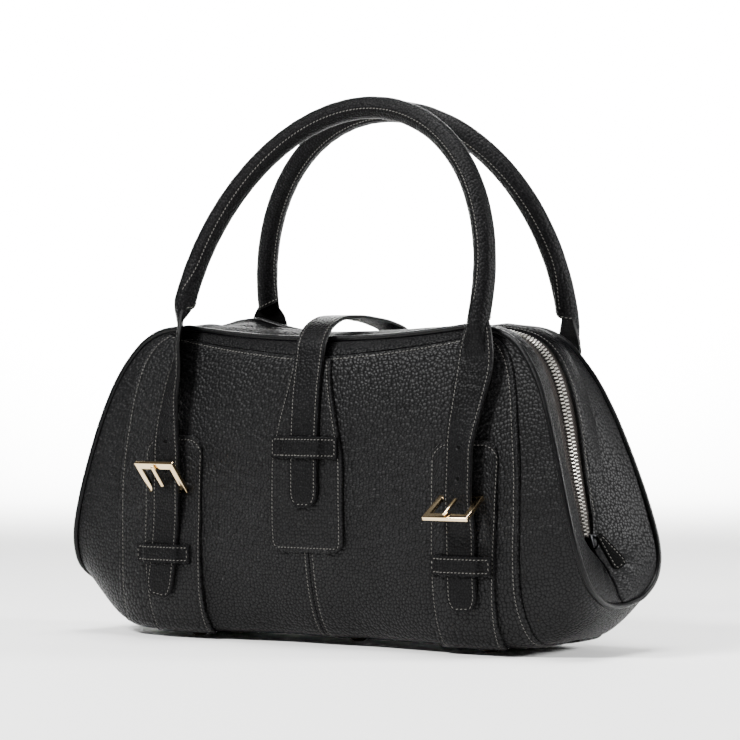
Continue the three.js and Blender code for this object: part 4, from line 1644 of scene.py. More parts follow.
    def model_slider(self) -> Piece:
        """A slider with its crown.

        Returns:
            The slider with its middle at the origin.
        """
        wide, long, thick = self.slider_size
        block = add_block((wide * MM, long * MM, 0.6 * thick * MM))
        self.taper(block, self.slider_heel)
        with editing(block):
            bpy.ops.mesh.bevel(offset=0.7 * MM, segments=3)
        bpy.ops.mesh.primitive_torus_add(
            major_radius=2.4 * MM,
            minor_radius=0.8 * MM,
            major_segments=24,
            minor_segments=8,
            location=(0.0, -1.0 * MM, 0.3 * thick * MM),
            rotation=(0.0, math.radians(90.0), 0.0),
        )
        crown = bpy.context.active_object
        crown.scale = (1.0, 1.5, 0.9)
        bpy.ops.object.transform_apply(location=True, rotation=True, scale=True)
        block.select_set(True)
        bpy.context.view_layer.objects.active = block
        bpy.ops.object.join()
        return dress(block, self.finishes.gunmetal, 40.0)

    def fit_sliders(self) -> None:
        """Copies the slider to both ends of the zip, each with its leather pull."""
        slider = self.model_slider()
        for side in Side:
            seat, up, out = self.slider_seat(side)
            place = stand(seat + out * 0.35 * self.slider_size[2], np.cross(up, out), up, out)
            fit(slider, f"zip_slider_{side.label}", Slot.ZIP, place)
            self.build_pull(side)
        discard(slider)

    def taper(self, block: Piece, share: float) -> None:
        """Narrows the lower end of a block, as a slider's heel is."""
        for vertex in block.data.vertices:
            if vertex.co.y < 0:
                vertex.co.x *= share

    def build_pull(self, side: Side) -> None:
        """A drop-shaped leather pull, sewn round its edge."""
        mirror = np.array([side.value, 1.0, 1.0])
        top = np.array(self.pull_top) * mirror
        hang = np.array(self.pull_end) * mirror - top
        length = float(np.linalg.norm(hang))
        reach = hang / length
        flat = np.array([side.value, -0.55, 0.3])
        flat = unit(flat - reach * (flat @ reach))
        across = np.cross(reach, flat)
        top = top + self.pull_clear * flat

        def surface(a: Array, b: Array) -> Array:
            """Points of the pull."""
            tip = np.sqrt(1.0 - np.clip((b - 0.8) / 0.2, 0.0, 0.985) ** 2)
            half = lerp(self.pull_neck, self.pull_wide, b**0.8) * tip
            return top + reach * (b * length)[..., None] + across * ((2.0 * a - 1.0) * half)[..., None]

        sheet = Sheet.over(surface, spaced(20, 0.6), spaced(36, 0.5), lambda points: flat)
        inset, lift = self.pull_inset, self.pull_thick / 2.0
        sheet.groove(inset, 0.3, 0.8, *SIDES).roll(0.9, 0.8, *Edge)
        self.cut(sheet, f"zip_pull_{side.label}", Slot.SMOOTH, lift, self.pull_thick, self.finishes.lining)
        self.sew(sheet, inset, lift, {Edge.FOOT: inset, Edge.TOP: 2.0}, *SIDES)
        self.sew(sheet, inset + 0.2, lift, dict.fromkeys(SIDES, 1.0), Edge.FOOT)


@dataclass(frozen=True)
class Tail:
    """Top of a strap that a handle's tube lies down on: its middle line, going down, and its way across."""

    points: Array
    wide: Array


@dataclass(frozen=True)
class Foot:
    """How a handle's tube ends on its strap.

    Attributes:
        cut: Height at which the tube opens.
        ease: Length over which the opened side runs out.
        flat: Height over the arch's spring line below which the tube flattens.
        slope: How much lower the cut lies on the tube's outer side.
        flare: Length over which the strap comes to its full width under the cut.
    """

    cut: float
    ease: float = 0.9
    flat: float = -6.0
    slope: float = 3.6
    flare: float = 24.0


@dataclass
class Handle(Work):
    """One rolled handle: a tube that opens on its inner side and lies down on a strap at each foot."""

    face: Face
    half_span: float
    sway_foot: float
    sway_top: float
    seam_turns: tuple[float, float]
    radius: float = 7.6
    foot: float = 217.0
    spring: float = 222.0
    rise: float = 141.0
    foot_y: float = 53.0
    top_y: float = 18.5
    lying_half: float = 9.0
    lying_rise: float = 1.5
    inner_open: float = 0.7
    cut_step: float = 0.9
    cut_lip: float = 0.22
    lap_rise: float = 0.08
    join_reach: int = 24
    lie_length: float = 24.0
    turn_length: float = 42.0
    ripple_high: float = 0.09
    wrinkle_high: float = 0.32
    wrinkle_pitch: float = 4.6
    sides: int = 44

    def place(self, angle: Array, drop: Array) -> Array:
        """Points of the handle's middle line."""
        z = self.spring + self.rise * np.sin(angle) - drop
        share = (z - self.foot) / (self.spring + self.rise - self.foot)
        x = -self.half_span * np.cos(angle) + lerp(self.sway_foot, self.sway_top, share)
        return np.stack([x, self.face.value * lerp(self.foot_y, self.top_y, share), z], axis=-1)

    def arch(self) -> Array:
        """Closely spaced points of the arch from the left foot to the right."""
        angle = np.linspace(0.0, np.pi, 500)
        return self.place(angle, np.zeros_like(angle))

    def inside(self, side: Side, heights: Sequence[float]) -> Array:
        """Points of the arch near one foot at given heights."""
        arch = self.arch()
        arm = arch[:250] if side is Side.LEFT else arch[:249:-1]
        return np.stack([np.interp(heights, arm[:, 2], arm[:, k]) for k in range(3)], axis=1)

    def build(self, tails: dict[Side, Tail], feet: dict[Side, Foot]) -> None:
        """Builds the tube and sews it.

        Args:
            tails: Strap that each foot lies down on.
            feet: How the tube ends at each foot.
        """
        line, hints, above, cut = self.lay_out(tails, feet)
        share = run_length(line) / run_length(line)[-1]
        left, right = feet[Side.LEFT], feet[Side.RIGHT]
        ease = np.where(share < 0.5, left.ease, right.ease)[:, None]
        flat = np.where(share < 0.5, left.flat, right.flat)
        slope = np.where(share < 0.5, left.slope, right.slope)[:, None]
        along = unit(np.gradient(line, axis=0))
        out = square_to(hints, along)
        depth = np.cross(along, out) * -self.face.value
        lying = smooth((flat - above) / self.lie_length)
        half = lerp(self.radius, self.lying_half, lying)
        proud = lerp(self.radius, self.lying_rise, lying)
        from_seam = np.arange(self.sides) * 2.0 * np.pi / self.sides
        angles = (np.pi + lerp(*self.seam_turns, smooth(share)))[:, None] + from_seam[None, :]
        c, s = np.cos(angles), np.sin(angles)
        ahead = np.where(from_seam > np.pi, from_seam - 2.0 * np.pi, from_seam) * self.face.value
        lap = 1.0 + self.lap_rise * np.where(ahead >= 0.0, np.exp(-ahead / 0.9), 0.0)[None, :]
        ripple = self.ripple_high * np.sin(line[:, 0] / 2.6 + line[:, 2] / 3.3) * np.sin(line[:, 2] / 15.0)
        wrinkle = self.wrinkle_high * np.exp(-(((above + 15.0) / 8.0) ** 2))
        wrinkle = wrinkle * np.sin(above * 2.0 * np.pi / self.wrinkle_pitch)
        past = cut[:, None] - slope * c - above[:, None]
        lip = smooth(past / self.cut_step + 0.5)
        opens = np.where(ease > self.cut_step, lerp(self.cut_lip * lip, 1.0, smooth(past / ease)), lip)
        inner = lerp(self.radius, self.inner_open, opens)
        n_part = (half + ripple)[:, None] * c * lap
        d_part = np.where(s > 0.0, (proud + ripple + wrinkle)[:, None] * s, inner * s) * lap
        points = line[:, None, :] + out[:, None, :] * n_part[..., None]
        points = points + depth[:, None, :] * d_part[..., None]
        name = f"grip_{self.face.label}"
        faces = tube_faces(len(line), self.sides, False)
        hide = tube_hide(line, self.sides, 2.0 * np.pi * self.radius, False)
        made = make_piece(
            f"{name}_leather", points.reshape(-1, 3), faces, [self.finishes.strap], angle=60.0, hide=hide
        )
        fix_normals(made)
        settle(made, Slot.SMOOTH, name)
        self.sew_tube(points, line, above - cut, angles, (left.slope, right.slope))

    def lay_out(self, tails: dict[Side, Tail], feet: dict[Side, Foot]) -> tuple[Array, Array, Array, Array]:
        """Lays the tube's middle line over the arch and both tails.

        Args:
            tails: Strap that each foot lies down on.
            feet: How the tube ends at each foot.

        Returns:
            The line, its outer side, its height above the foot, and the cut's height above the foot.
        """
        arch = self.arch()
        middle = np.array([self.sway_foot, self.face.value * self.foot_y, self.foot])
        radial = unit(arch - middle)
        left, right = tails[Side.LEFT], tails[Side.RIGHT]
        line = np.vstack([left.points[::-1], arch, right.points])
        hints = np.vstack([-left.wide[::-1], radial, right.wide])
        length = run_length(line)
        foot = {Side.LEFT: length[len(left.points)], Side.RIGHT: length[-len(right.points) - 1]}
        above = np.minimum(length - foot[Side.LEFT], foot[Side.RIGHT] - length)
        turned = smooth(above / self.turn_length)[:, None]
        near_left = (length < length[-1] / 2.0)[:, None]
        at_foot = np.where(near_left, -left.wide[:1], right.wide[:1])
        hints = lerp(at_foot, hints, np.where(above[:, None] > 0, turned, 1.0))
        cut = np.where(near_left[:, 0], feet[Side.LEFT].cut, feet[Side.RIGHT].cut) - self.spring
        stations = [np.linspace(0.0, length[-1], 290)]
        for side, sign in ((Side.LEFT, 1.0), (Side.RIGHT, -1.0)):
            middle_cut = foot[side] + sign * (feet[side].cut - self.spring)
            stations.append(middle_cut + np.linspace(-5.0, 5.0, 50))
        at = np.unique(np.round(np.concatenate(stations), 3))
        even = np.arange(0.0, length[-1] + 0.5, 0.5)
        table = np.column_stack([line, hints, above, cut])
        table = np.stack([np.interp(even, length, row) for row in table.T], axis=1)
        window = np.hanning(2 * self.join_reach + 1)
        padded = np.pad(table[:, :6], ((self.join_reach, self.join_reach), (0, 0)), mode="edge")
        eased = np.stack([np.convolve(row, window / window.sum(), mode="valid") for row in padded.T], axis=1)
        near = smooth(1.6 - np.abs(table[:, 6]) / 15.0)[:, None]
        table[:, :6] = lerp(table[:, :6], eased, near)
        laid = np.stack([np.interp(at, even, row) for row in table.T], axis=1)
        return laid[:, :3], laid[:, 3:6], laid[:, 6], laid[:, 7]

    def sew_tube(
        self, points: Array, line: Array, over: Array, angles: Array, slopes: tuple[float, float]
    ) -> None:
        """Stitches beside the seam, and along the opened ends.

        Args:
            points: Rings of the tube.
            line: Its middle line.
            over: Height of each ring over its foot's cut.
            angles: Angle of each point round its ring.
            slopes: Slope of the cut at the left foot and at the right.
        """
        column = int(2 * self.face.value) % self.sides
        closed = over > max(map(abs, slopes)) + 2.0
        rows = points[closed, column]
        out = unit(rows - line[closed])
        self.thread.sew(SewLine(rows + out * 0.05, out))
        half = len(line) // 2
        for part, slope in zip((np.arange(half), np.arange(half, len(line))), slopes):
            turn = angles[part[np.argmin(np.abs(over[part]))]]
            columns = np.argsort(turn % (2.0 * np.pi))
            columns = columns[np.sin(turn[columns]) < -0.1]
            lean = slope * np.cos(turn[columns])
            spots = [part[np.argmin(np.abs(over[part] + shift - 2.2))] for shift in lean]
            row = np.array([points[i, k] for i, k in zip(spots, columns)])
            way = unit(row - line[spots])
            self.thread.sew(SewLine(row + way * 0.05, way))


@dataclass
class Buckle:
    """The square frame and its prong, modelled once and copied to every strap."""

    finishes: Finishes
    half: float = 16.5
    length: float = 27.0
    arm: float = 4.0
    bar: float = 5.4
    hinge: float = 3.0
    thick: float = 3.0
    prong_radius: float = 1.4
    prong_from: float = 9.5
    prong_to: float = 27.5
    frame: Piece = field(init=False)
    prong: Piece = field(init=False)

    def __post_init__(self) -> None:
        """Models both pieces."""
        self.frame = self.model_frame()
        self.prong = self.model_prong()

    @property
    def prong_stand(self) -> float:
        """Height of the prong's middle line over the middle of the frame."""
        return self.thick / 2.0 + 0.3 + self.prong_radius

    @property
    def prong_middle(self) -> float:
        """Distance of the prong's middle from the hinge."""
        return (self.prong_from + self.prong_to) / 2.0 - self.hinge

    def model_frame(self) -> Piece:
        """The frame, cut from thick plate with eased edges.

        Returns:
            The frame with its hinge at the origin.
        """
        bpy.ops.mesh.primitive_plane_add(size=1.0)
        plate = bpy.context.active_object
        plate.scale = (2.0 * self.half * MM, self.length * MM, 1.0)
        plate.location = (0.0, (self.length - self.hinge) / 2.0 * MM, -self.thick / 2.0 * MM)
        bpy.ops.object.transform_apply(location=True, rotation=False, scale=True)
        with editing(plate):
            bpy.ops.mesh.inset(thickness=self.hinge * MM)
            bpy.ops.mesh.delete(type="FACE")
        self.open_frame(plate)
        with editing(plate):
            bpy.ops.mesh.extrude_region_move(TRANSFORM_OT_translate={"value": (0.0, 0.0, self.thick * MM)})
        ease_edges(plate, 0.55, 3)
        fix_normals(plate)
        return dress(plate, self.finishes.gold, 35.0)

    def open_frame(self, plate: Piece) -> None:
        """Moves the inner corners so that the arms and the outer bar have their own widths."""
        outer_y = (self.length - self.hinge / 2.0) * MM
        for vertex in plate.data.vertices:
            inside = abs(vertex.co.x) < (self.half - 0.5) * MM
            if not inside:
                continue
            vertex.co.x = math.copysign((self.half - self.arm) * MM, vertex.co.x)
            if vertex.co.y > outer_y / 2.0:
                vertex.co.y = outer_y - self.bar * MM

    def model_prong(self) -> Piece:
        """The prong: a bar that narrows to a rounded tip.

        Returns:
            The prong with its middle at the origin.
        """
        bpy.ops.mesh.primitive_cylinder_add(
            vertices=20,
            radius=self.prong_radius * MM,
            depth=(self.prong_to - self.prong_from) * MM,
            rotation=(math.radians(-90.0), 0.0, 0.0),
        )
        bar = bpy.context.active_object
        bpy.ops.object.transform_apply(location=False, rotation=True, scale=False)
        for vertex in bar.data.vertices:
            vertex.co.x *= 1.25 if vertex.co.y < 0 else 0.95
            vertex.co.z *= 0.9 if vertex.co.y < 0 else 0.75
        ease_edges(bar, 0.6, 3, 50.0)
        fix_normals(bar)
        return dress(bar, self.finishes.gold, 40.0)


@dataclass
class StrapSet(Work):
    """One handle strap with its sewn patch, keeper, buckle and prong."""

    face: Face
    side: Side
    handle: Handle
    tilt: float
    twists: tuple[tuple[float, float], ...]
    foot: Foot
    hangs_askew: bool
    buckle: Buckle
    x: float = 121.0
    half: float = 11.5
    thick: float = 2.2
    tip_half: float = 3.0
    rows: tuple[tuple[float, float, float, float], ...] = (
        (215.7, 10.2, 7, 0),
        (205, 10.5, 7, 0.7),
        (190, 8.8, 6, 2),
        (165, 8.9, 3, 4.5),
        (140, 8.8, 0, 7),
        (120, 8.8, 0, 8),
        (103, 8.7, 0, 8),
        (88, 6.4, 0, 6.5),
        (66, 4.2, 0, 4.2),
        (50, 4.4, 0.5, 1.8),
        (29, 5.6, 1, -2.5),
    )
    patch_askew: float = 9.5
    below_cut: tuple[float, ...] = (-0.8, 0.0, 0.12, 0.33, 0.62, 1.0)
    top_halves: tuple[float, ...] = (5.0, 6.2, 8.0, 10.0, 12.0, 13.2)
    top_over_cut: float = 7.0
    tube_ends: float = 184.0
    inset: float = 2.4
    holes: tuple[float, ...] = (136.0, 116.0)
    hole_radius: float = 1.5
    hole_depth: float = 1.5
    hole_sides: int = 20
    patch_half: float = 24.0
    patch_top: float = 140.5
    patch_corner: float = 12.0
    patch_end: float = 10.9
    patch_low: float = 1.4
    patch_high: float = 3.6
    patch_inset: float = 3.4
    keeper_half: float = 22.6
    keeper_low: float = 53.0
    keeper_high: float = 65.5
    keeper_thick: float = 1.8
    keeper_rise: tuple[float, float, float, float] = (4.0, 7.3, 13.0, 17.5)
    buckle_z: float = 103.0
    buckle_stand: float = 5.85

    @property
    def place(self) -> str:
        """Name of this corner of the bag."""
        return f"{self.face.label}_{self.side.label}"

    @property
    def top(self) -> float:
        """Height of the strap's upper end inside the handle."""
        return self.foot.cut + self.top_over_cut

    @property
    def middle_x(self) -> float:
        """Width of the strap's middle line on the bag."""
        return self.side.value * self.x

    def lean(self, z: Array) -> Array:
        """How far the strap hangs askew at heights."""
        table = np.array(self.rows)[::-1]
        return np.interp(z, table[:, 0], table[:, 3]) * self.hangs_askew

    def build(self) -> None:
        """Builds every piece of the set."""
        self.build_strap()
        self.build_patch()
        self.build_keeper()
        self.fit_buckle()

    def middle_line(self, count: int) -> Array:
        """Inner middle line of the strap, from inside the handle's foot to the tip."""
        table = np.array(self.rows)
        foot = self.side.value * self.handle.half_span + self.handle.sway_foot - self.middle_x
        shift = lerp(table[:, 2], foot, smooth((table[:, 0] - 165.0) / 45.0))
        x = self.middle_x + shift + self.lean(table[:, 0])
        on = self.form.on_face(self.face, x, table[:, 0])
        on[:, 1] += self.face.value * table[:, 1]
        on[:, 2] = table[:, 0]
        inside = self.handle.inside(self.side, (self.top, (self.top + self.handle.spring) / 2.0))
        inside = inside - np.array([0.0, self.face.value * self.thick / 2.0, 0.0])
        return chordal(np.vstack([inside, on]), count)

    def across(self, line: Array) -> Array:
        """Way across the strap from left to right at points of its middle line."""
        along = unit(np.gradient(line, axis=0))
        z = np.clip(line[:, 2], 10.0, 200.0)
        ends = self.form.on_face(self.face, line[:, 0] + np.array([[3.0], [-3.0]]), np.stack([z, z]))
        wide = unit((ends[0] - ends[1]) * np.array([1.0, 1.0, 0.0]))
        heights, angles = np.array(self.twists).T
        turn = np.radians(np.interp(line[:, 2], heights, angles))
        c, s = np.cos(turn), np.sin(turn)
        x, y, z = wide.T
        wide = np.stack([x * c - y * s, x * s + y * c, z], axis=1)
        return square_to(wide, along)

    def outward(self, line: Array) -> Array:
        """Way out of the strap's outer face at points of its middle line."""
        along = unit(np.gradient(line, axis=0))
        return np.cross(self.across(line), along) * self.face.value

    def tail(self) -> Tail:
        """The part that the handle's tube lies down on."""
        line = self.middle_line(230)
        shown = (line[:, 2] < self.handle.spring - 1.5) & (line[:, 2] > self.tube_ends)
        middle = line + self.outward(line) * self.thick / 2.0
        return Tail(middle[shown], self.across(line)[shown])

    def build_strap(self) -> None:
        """The strap: a sewn band that stands off the bag above its buckle and runs to a round tip."""
        line = self.middle_line(240)
        from_tip = run_length(line)[-1] - run_length(line)
        round_tip = np.clip(from_tip / self.half, 0.0, 1.0)
        below = (self.foot.cut - line[:, 2]) / self.foot.flare
        half = np.interp(below, self.below_cut, self.top_halves)
        half = lerp(half, self.half, smooth((190.0 - line[:, 2]) / 30.0))
        half = lerp(self.tip_half, half, np.sqrt(1.0 - (1.0 - round_tip) ** 2))
        across = spaced(30, 0.6)
        wide = self.across(line)
        points = line[None] + wide[None] * ((2.0 * across - 1.0)[:, None] * half[None])[..., None]
        sheet = Sheet(points, np.broadcast_to(self.outward(line), points.shape)).level_ends()
        inset, thick, finishes = self.inset, self.thick, self.finishes
        sheet.groove(inset, 0.28, 0.9, *SIDES, Edge.FOOT).roll(0.9, 0.8, *SIDES, Edge.FOOT)
        sheet.relief += self.creases(points)
        self.cut(sheet, f"strap_{self.place}", Slot.SMOOTH, thick, thick, finishes.strap, finishes.lining)
        self.line_holes(sheet)
        self.sew(sheet, inset, thick, {Edge.FOOT: inset, Edge.TOP: self.top - self.foot.cut}, *SIDES)
        self.sew(sheet, inset, thick, dict.fromkeys(SIDES, 3.0), Edge.FOOT)

    def creases(self, points: Array) -> Array:
        """Cross creases where the strap bends, and its punched holes."""
        x, _, z = np.moveaxis(points, -1, 0)
        fade = np.exp(-(((z - 186.0) / 16.0) ** 2)) + 0.6 * np.exp(-(((z - 150.0) / 9.0) ** 2))
        relief = 0.22 * fade * np.sin((z + 0.25 * x) * 2.0 * np.pi / 7.5)
        for spot in self.hole_spots(points):
            far = np.linalg.norm(points - points[spot], axis=-1)
            relief -= self.hole_depth * smooth((self.hole_radius + 0.4 - far) / 0.8)
        return relief

    def hole_spots(self, points: Array) -> list[tuple[int, int]]:
        """Places in the strap's grid that are nearest to its punched holes."""
        table = np.array(self.rows)[::-1]
        spots = []
        for height in self.holes:
            middle = self.middle_x + np.interp(height, table[:, 0], table[:, 2]) + self.lean(height)
            far = np.hypot(points[..., 0] - middle, points[..., 2] - height)
            row, column = np.unravel_index(np.argmin(far), far.shape)
            spots.append((int(row), int(column)))
        return spots

    def line_holes(self, sheet: Sheet) -> None:
        """Painted shade in the punched holes: one short dark plug in the dip of each.

        Args:
            sheet: The strap.
        """
        sides = self.hole_sides
        turn = np.linspace(0.0, 2.0 * np.pi, sides, endpoint=False)
        points, faces = [], []
        for row, column in self.hole_spots(sheet.points):
            out = sheet.normals[row, column]
            wide = unit(sheet.points[row + 1, column] - sheet.points[row, column])
            round_it = np.cos(turn)[:, None] * wide + np.sin(turn)[:, None] * np.cross(out, wide)
            for depth in (0.6 * self.hole_depth, 1.0 * self.hole_depth):
                middle = sheet.points[row, column] + out * (self.thick - depth)
                points.append(middle + self.hole_radius * round_it)
        for top in range(0, sides * len(points), 2 * sides):
            upper = list(range(top, top + sides))
            lower = [k + sides for k in upper]
            faces += [upper, lower[::-1]]
            faces += [[a, a + sides, b + sides, b] for a, b in zip(upper, upper[1:] + upper[:1])]
        # The plugs take the dark lining finish as painted shade inside the holes.
        made = make_piece(f"strap_{self.place}_holes", np.concatenate(points), faces, [self.finishes.lining])
        fix_normals(made)
        settle(made, Slot.SMOOTH)

    def build_patch(self) -> None:
        """The long patch that carries the buckle, sewn round its edge and under the base."""
        form = self.form
        middle = self.middle_x + self.patch_askew * self.hangs_askew

        def surface(a: Array, b: Array) -> Array:
            """Points of the patch."""
            dx = (2.0 * a - 1.0) * self.patch_half
            corner = np.maximum(0.0, np.abs(dx) - (self.patch_half - self.patch_corner))
            dip = self.patch_corner - np.sqrt(np.maximum(0.0, self.patch_corner**2 - corner**2))
            top = form.level(middle + dx, self.patch_top - dip)
            return form.skin(self.face.value, middle + dx, lerp(top, self.patch_end, b))

        sheet = Sheet.over(surface, spaced(44, 0.6), spaced(90, 0.4), form.away)
        inset, lift = self.patch_inset, self.patch_high
        sheet.groove(inset, 0.4, 1.1, *SIDES, Edge.TOP).roll(1.4, 1.3, *SIDES, *ENDS)
        thick = lift - self.patch_low
        self.cut(sheet, f"patch_{self.place}", Slot.GRAINED, lift, thick, self.finishes.grained)
        self.sew(sheet, inset, lift, {Edge.TOP: inset, Edge.FOOT: 2.0}, *SIDES)
        self.sew(sheet, inset, lift, dict.fromkeys(SIDES, 3.0), Edge.TOP)

    def build_keeper(self) -> None:
        """The band that holds the strap's tail down."""
        middle = self.middle_x + float(self.lean((self.keeper_low + self.keeper_high) / 2.0))
        spread = (self.keeper_half, self.keeper_low, self.keeper_high)
        name = f"keeper_{self.place}"
        self.build_bridge(name, self.face, middle, spread, self.keeper_thick, self.keeper_rise)

    def buckle_axes(self) -> tuple[Array, Array, Array, Array]:
        """Hinge of the buckle with its ways across, along the frame and out of it."""
        middle = self.middle_x + float(self.lean(self.buckle_z))
        x = middle + np.array([-self.buckle.half, 0.0, self.buckle.half])
        ends = self.form.on_face(self.face, x, np.full(3, self.buckle_z))
        across = unit((ends[2] - ends[0]) * np.array([1.0, 1.0, 0.0]))
        out = -self.face.value * np.array([across[1], -across[0], 0.0])
        tilt = math.radians(self.tilt)
        reach = out * math.cos(tilt) + np.array([0.0, 0.0, math.sin(tilt)])
        hinge = ends[1] + np.array([0.0, self.face.value * self.buckle_stand, 0.0])
        return hinge, across, reach, np.cross(across, reach)

    def fit_buckle(self) -> None:
        """Copies the buckle and its prong to this strap."""
        hinge, across, reach, lift = self.buckle_axes()
        at_hinge = stand(hinge, across, reach, lift)
        fit(self.buckle.frame, f"buckle_{self.place}", Slot.BUCKLE, at_hinge)
        above = math.copysign(self.buckle.prong_stand, lift[1] * self.face.value)
        middle = hinge + reach * self.buckle.prong_middle + lift * above
        at_middle = stand(middle, across, reach, lift)
        fit(self.buckle.prong, f"prong_{self.place}", Slot.BUCKLE, at_middle)


@dataclass
class Closing(Work):
    """The centre strap that arches over the zip, with its tab, loop and rivets."""

    half: float = 11.5
    thick: float = 2.2
    inset: float = 2.4
    tip: float = 93.6
    tip_half: float = 3.0
    tab_stand: float = 4.3
    back_stand: float = 1.6
    back_end: float = 142.0
    face_steps: int = 6
    arch: tuple[tuple[float, float], ...] = (
        (-60, 193), (-57.5, 203), (-51, 212), (-38, 218.5), (-18, 220.7),
        (5, 219.5), (28, 216.5), (46, 211), (55, 203), (60, 191),
    )
    tab_rows: tuple[tuple[float, float], ...] = (
        (192, 15.5), (176, 18), (160, 21.8), (142, 26), (126, 29),
        (100, 29.5), (76, 29.5), (68, 28.2), (64, 22),
    )
    tab_low: float = 1.6
    tab_high: float = 3.6
    tab_inset: float = 3.0
    loop: tuple[float, float, float] = (26.4, 126.5, 141.0)
    loop_thick: float = 1.8
    loop_rise: tuple[float, float, float, float] = (4.0, 7.3, 13.0, 18.0)
    rivet_radius: float = 3.0
    rivet_height: float = 1.2
    rivet_places: tuple[float, ...] = (-21.0, -4.0)

    def path(self, count: int) -> Array:
        """Inner middle line of the strap, from its front tip over the top to the back."""
        front_top = self.arch[0][1]
        zs = lerp(self.tip, front_top, np.arange(self.face_steps + 1) / (self.face_steps + 1))
        front = self.form.on_face(Face.FRONT, np.zeros_like(zs), zs)
        front[:, 1] -= self.tab_stand
        over = np.array([[0.0, y, z] for y, z in self.arch])
        steps = self.face_steps // 2
        zb = np.array([lerp(self.arch[-1][1], self.back_end, i / steps) for i in range(1, steps + 1)])
        back = self.form.on_face(Face.BACK, np.zeros_like(zb), zb)
        back[:, 1] += self.back_stand
        return chordal(np.vstack([front, over, back]), count)

    def build(self) -> None:
        """Builds every piece of the closing."""
        self.build_tab()
        self.build_bridge("closing_loop", Face.FRONT, 0.0, self.loop, self.loop_thick, self.loop_rise)
        self.fit_rivets(self.build_strap())

    def build_strap(self) -> Array:
        """The strap itself.

        Returns:
            Its inner middle line.
        """
        line = self.path(260)
        length = run_length(line)
        round_tip = np.clip(length / self.half, 0.0, 1.0)
        half = lerp(self.tip_half, self.half, np.sqrt(1.0 - (1.0 - round_tip) ** 2))
        across = spaced(30, 0.6)
        aside = (2.0 * across - 1.0)[:, None] * half[None]
        points = line[None] + np.array([1.0, 0.0, 0.0]) * aside[..., None]
        sheet = Sheet(points, self.form.away(points)).level_ends()
        inset, thick = self.inset, self.thick
        sheet.groove(inset, 0.28, 0.9, *SIDES, Edge.TOP).roll(0.9, 0.8, *SIDES, *ENDS)
        self.cut(sheet, "closing_strap", Slot.SMOOTH, thick, thick, self.finishes.strap)
        self.sew(sheet, inset, thick, dict.fromkeys(ENDS, inset), *SIDES)
        self.sew(sheet, inset, thick, dict.fromkeys(SIDES, 3.0), *ENDS)
        return line

    def build_tab(self) -> None:
        """The tab sewn on the front that carries the loop."""
        form = self.form
        rows = np.array(self.tab_rows)

        def surface(a: Array, b: Array) -> Array:
            """Points of the tab."""
            row = b * (len(rows) - 1)
            x = (2.0 * a - 1.0) * table_value(rows[:, 1], row)
            return form.on_face(Face.FRONT, x, table_value(rows[:, 0], row))

        sheet = Sheet.over(surface, spaced(48, 0.6), spaced(100, 0.5), form.away).level_ends()
        inset, lift = self.tab_inset, self.tab_high
        sheet.groove(inset, 0.35, 1.0, *SIDES, Edge.FOOT).roll(1.4, 1.2, *SIDES, Edge.FOOT)
        self.cut(sheet, "closing_tab", Slot.SMOOTH, lift, lift - self.tab_low, self.finishes.wing)
        self.sew(sheet, inset, lift, {Edge.FOOT: inset, Edge.TOP: 1.0}, *SIDES)
        self.sew(sheet, inset, lift, dict.fromkeys(SIDES, 3.8), Edge.FOOT)

    def model_rivet(self) -> Piece:
        """A domed rivet.

        Returns:
            The rivet with its middle at the origin.
        """
        bpy.ops.mesh.primitive_cylinder_add(
            vertices=28, radius=self.rivet_radius * MM, depth=self.rivet_height * MM
        )
        head = bpy.context.active_object
        with editing(head):
            bpy.ops.mesh.bevel(offset=0.5 * MM, segments=4)
        return dress(head, self.finishes.silver, 40.0)

    def fit_rivets(self, line: Array) -> None:
        """Copies the rivet to its places on the inner side of the arch.

        Args:
            line: Inner middle line of the strap.
        """
        over = line[line[:, 2] > self.arch[1][1]]
        rivet = self.model_rivet()
        for number, depth in enumerate(self.rivet_places, start=1):
            spot = int(np.argmin(np.abs(over[:, 1] - depth)))
            along = unit(over[spot + 1] - over[spot - 1])
            down = np.array([0.0, along[2], -along[1]])
            place = over[spot] + down * (0.3 + self.rivet_height / 2.0)
            across = np.cross(along, down)
            fit(rivet, f"strap_rivet_{number}", Slot.ZIP, stand(place, across, along, down))
        discard(rivet)


@dataclass
class Feet:
    """The metal studs that the bag stands on."""

    finishes: Finishes
    radius: float = 6.0
    neck: float = 4.6
    height: float = 6.0
    x: float = 118.0
    y: float = 22.0
    rows: tuple[tuple[float, float], ...] = ((0.0, 0.6), (0.28, 0.9), (0.6, 1.0), (0.75, 1.0))

    def build(self) -> None:
        """Builds all the feet."""
        places = {
            "front_left": (-self.x, -self.y),
            "front_right": (self.x, -self.y),
            "middle": (0.0, 0.0),
            "back_left": (-self.x, self.y),
            "back_right": (self.x, self.y),
        }
        stud = self.model_stud()
        for name, (x, y) in places.items():
            low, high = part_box(f"foot_{name}")
            stretch = Matrix.Diagonal((1.0, 1.0, (high.z - low.z) / (self.height * MM), 1.0))
            place = Matrix.Translation(Vector((x * MM, y * MM, 0.0))) @ stretch
            fit(stud, f"foot_{name}", Slot.FOOT, place)
        discard(stud)

    def model_stud(self) -> Piece:
        """One domed stud.

        Returns:
            The stud, standing on the origin.
        """
        first = self.rows[0][1] * self.radius * MM
        bpy.ops.mesh.primitive_circle_add(vertices=40, radius=first, fill_type="NGON")
        stud = bpy.context.active_object
        steps = [*self.rows, (1.0, self.neck / self.radius)]
        with editing(stud):
            for (z0, r0), (z1, r1) in zip(steps, steps[1:]):
                up = (0.0, 0.0, (z1 - z0) * self.height * MM)
                bpy.ops.mesh.extrude_region_move(TRANSFORM_OT_translate={"value": up})
                bpy.ops.transform.resize(value=(r1 / r0, r1 / r0, 1.0))
        fix_normals(stud)
        ease_edges(stud, 0.35, 2)
        return dress(stud, self.finishes.stud, 40.0)


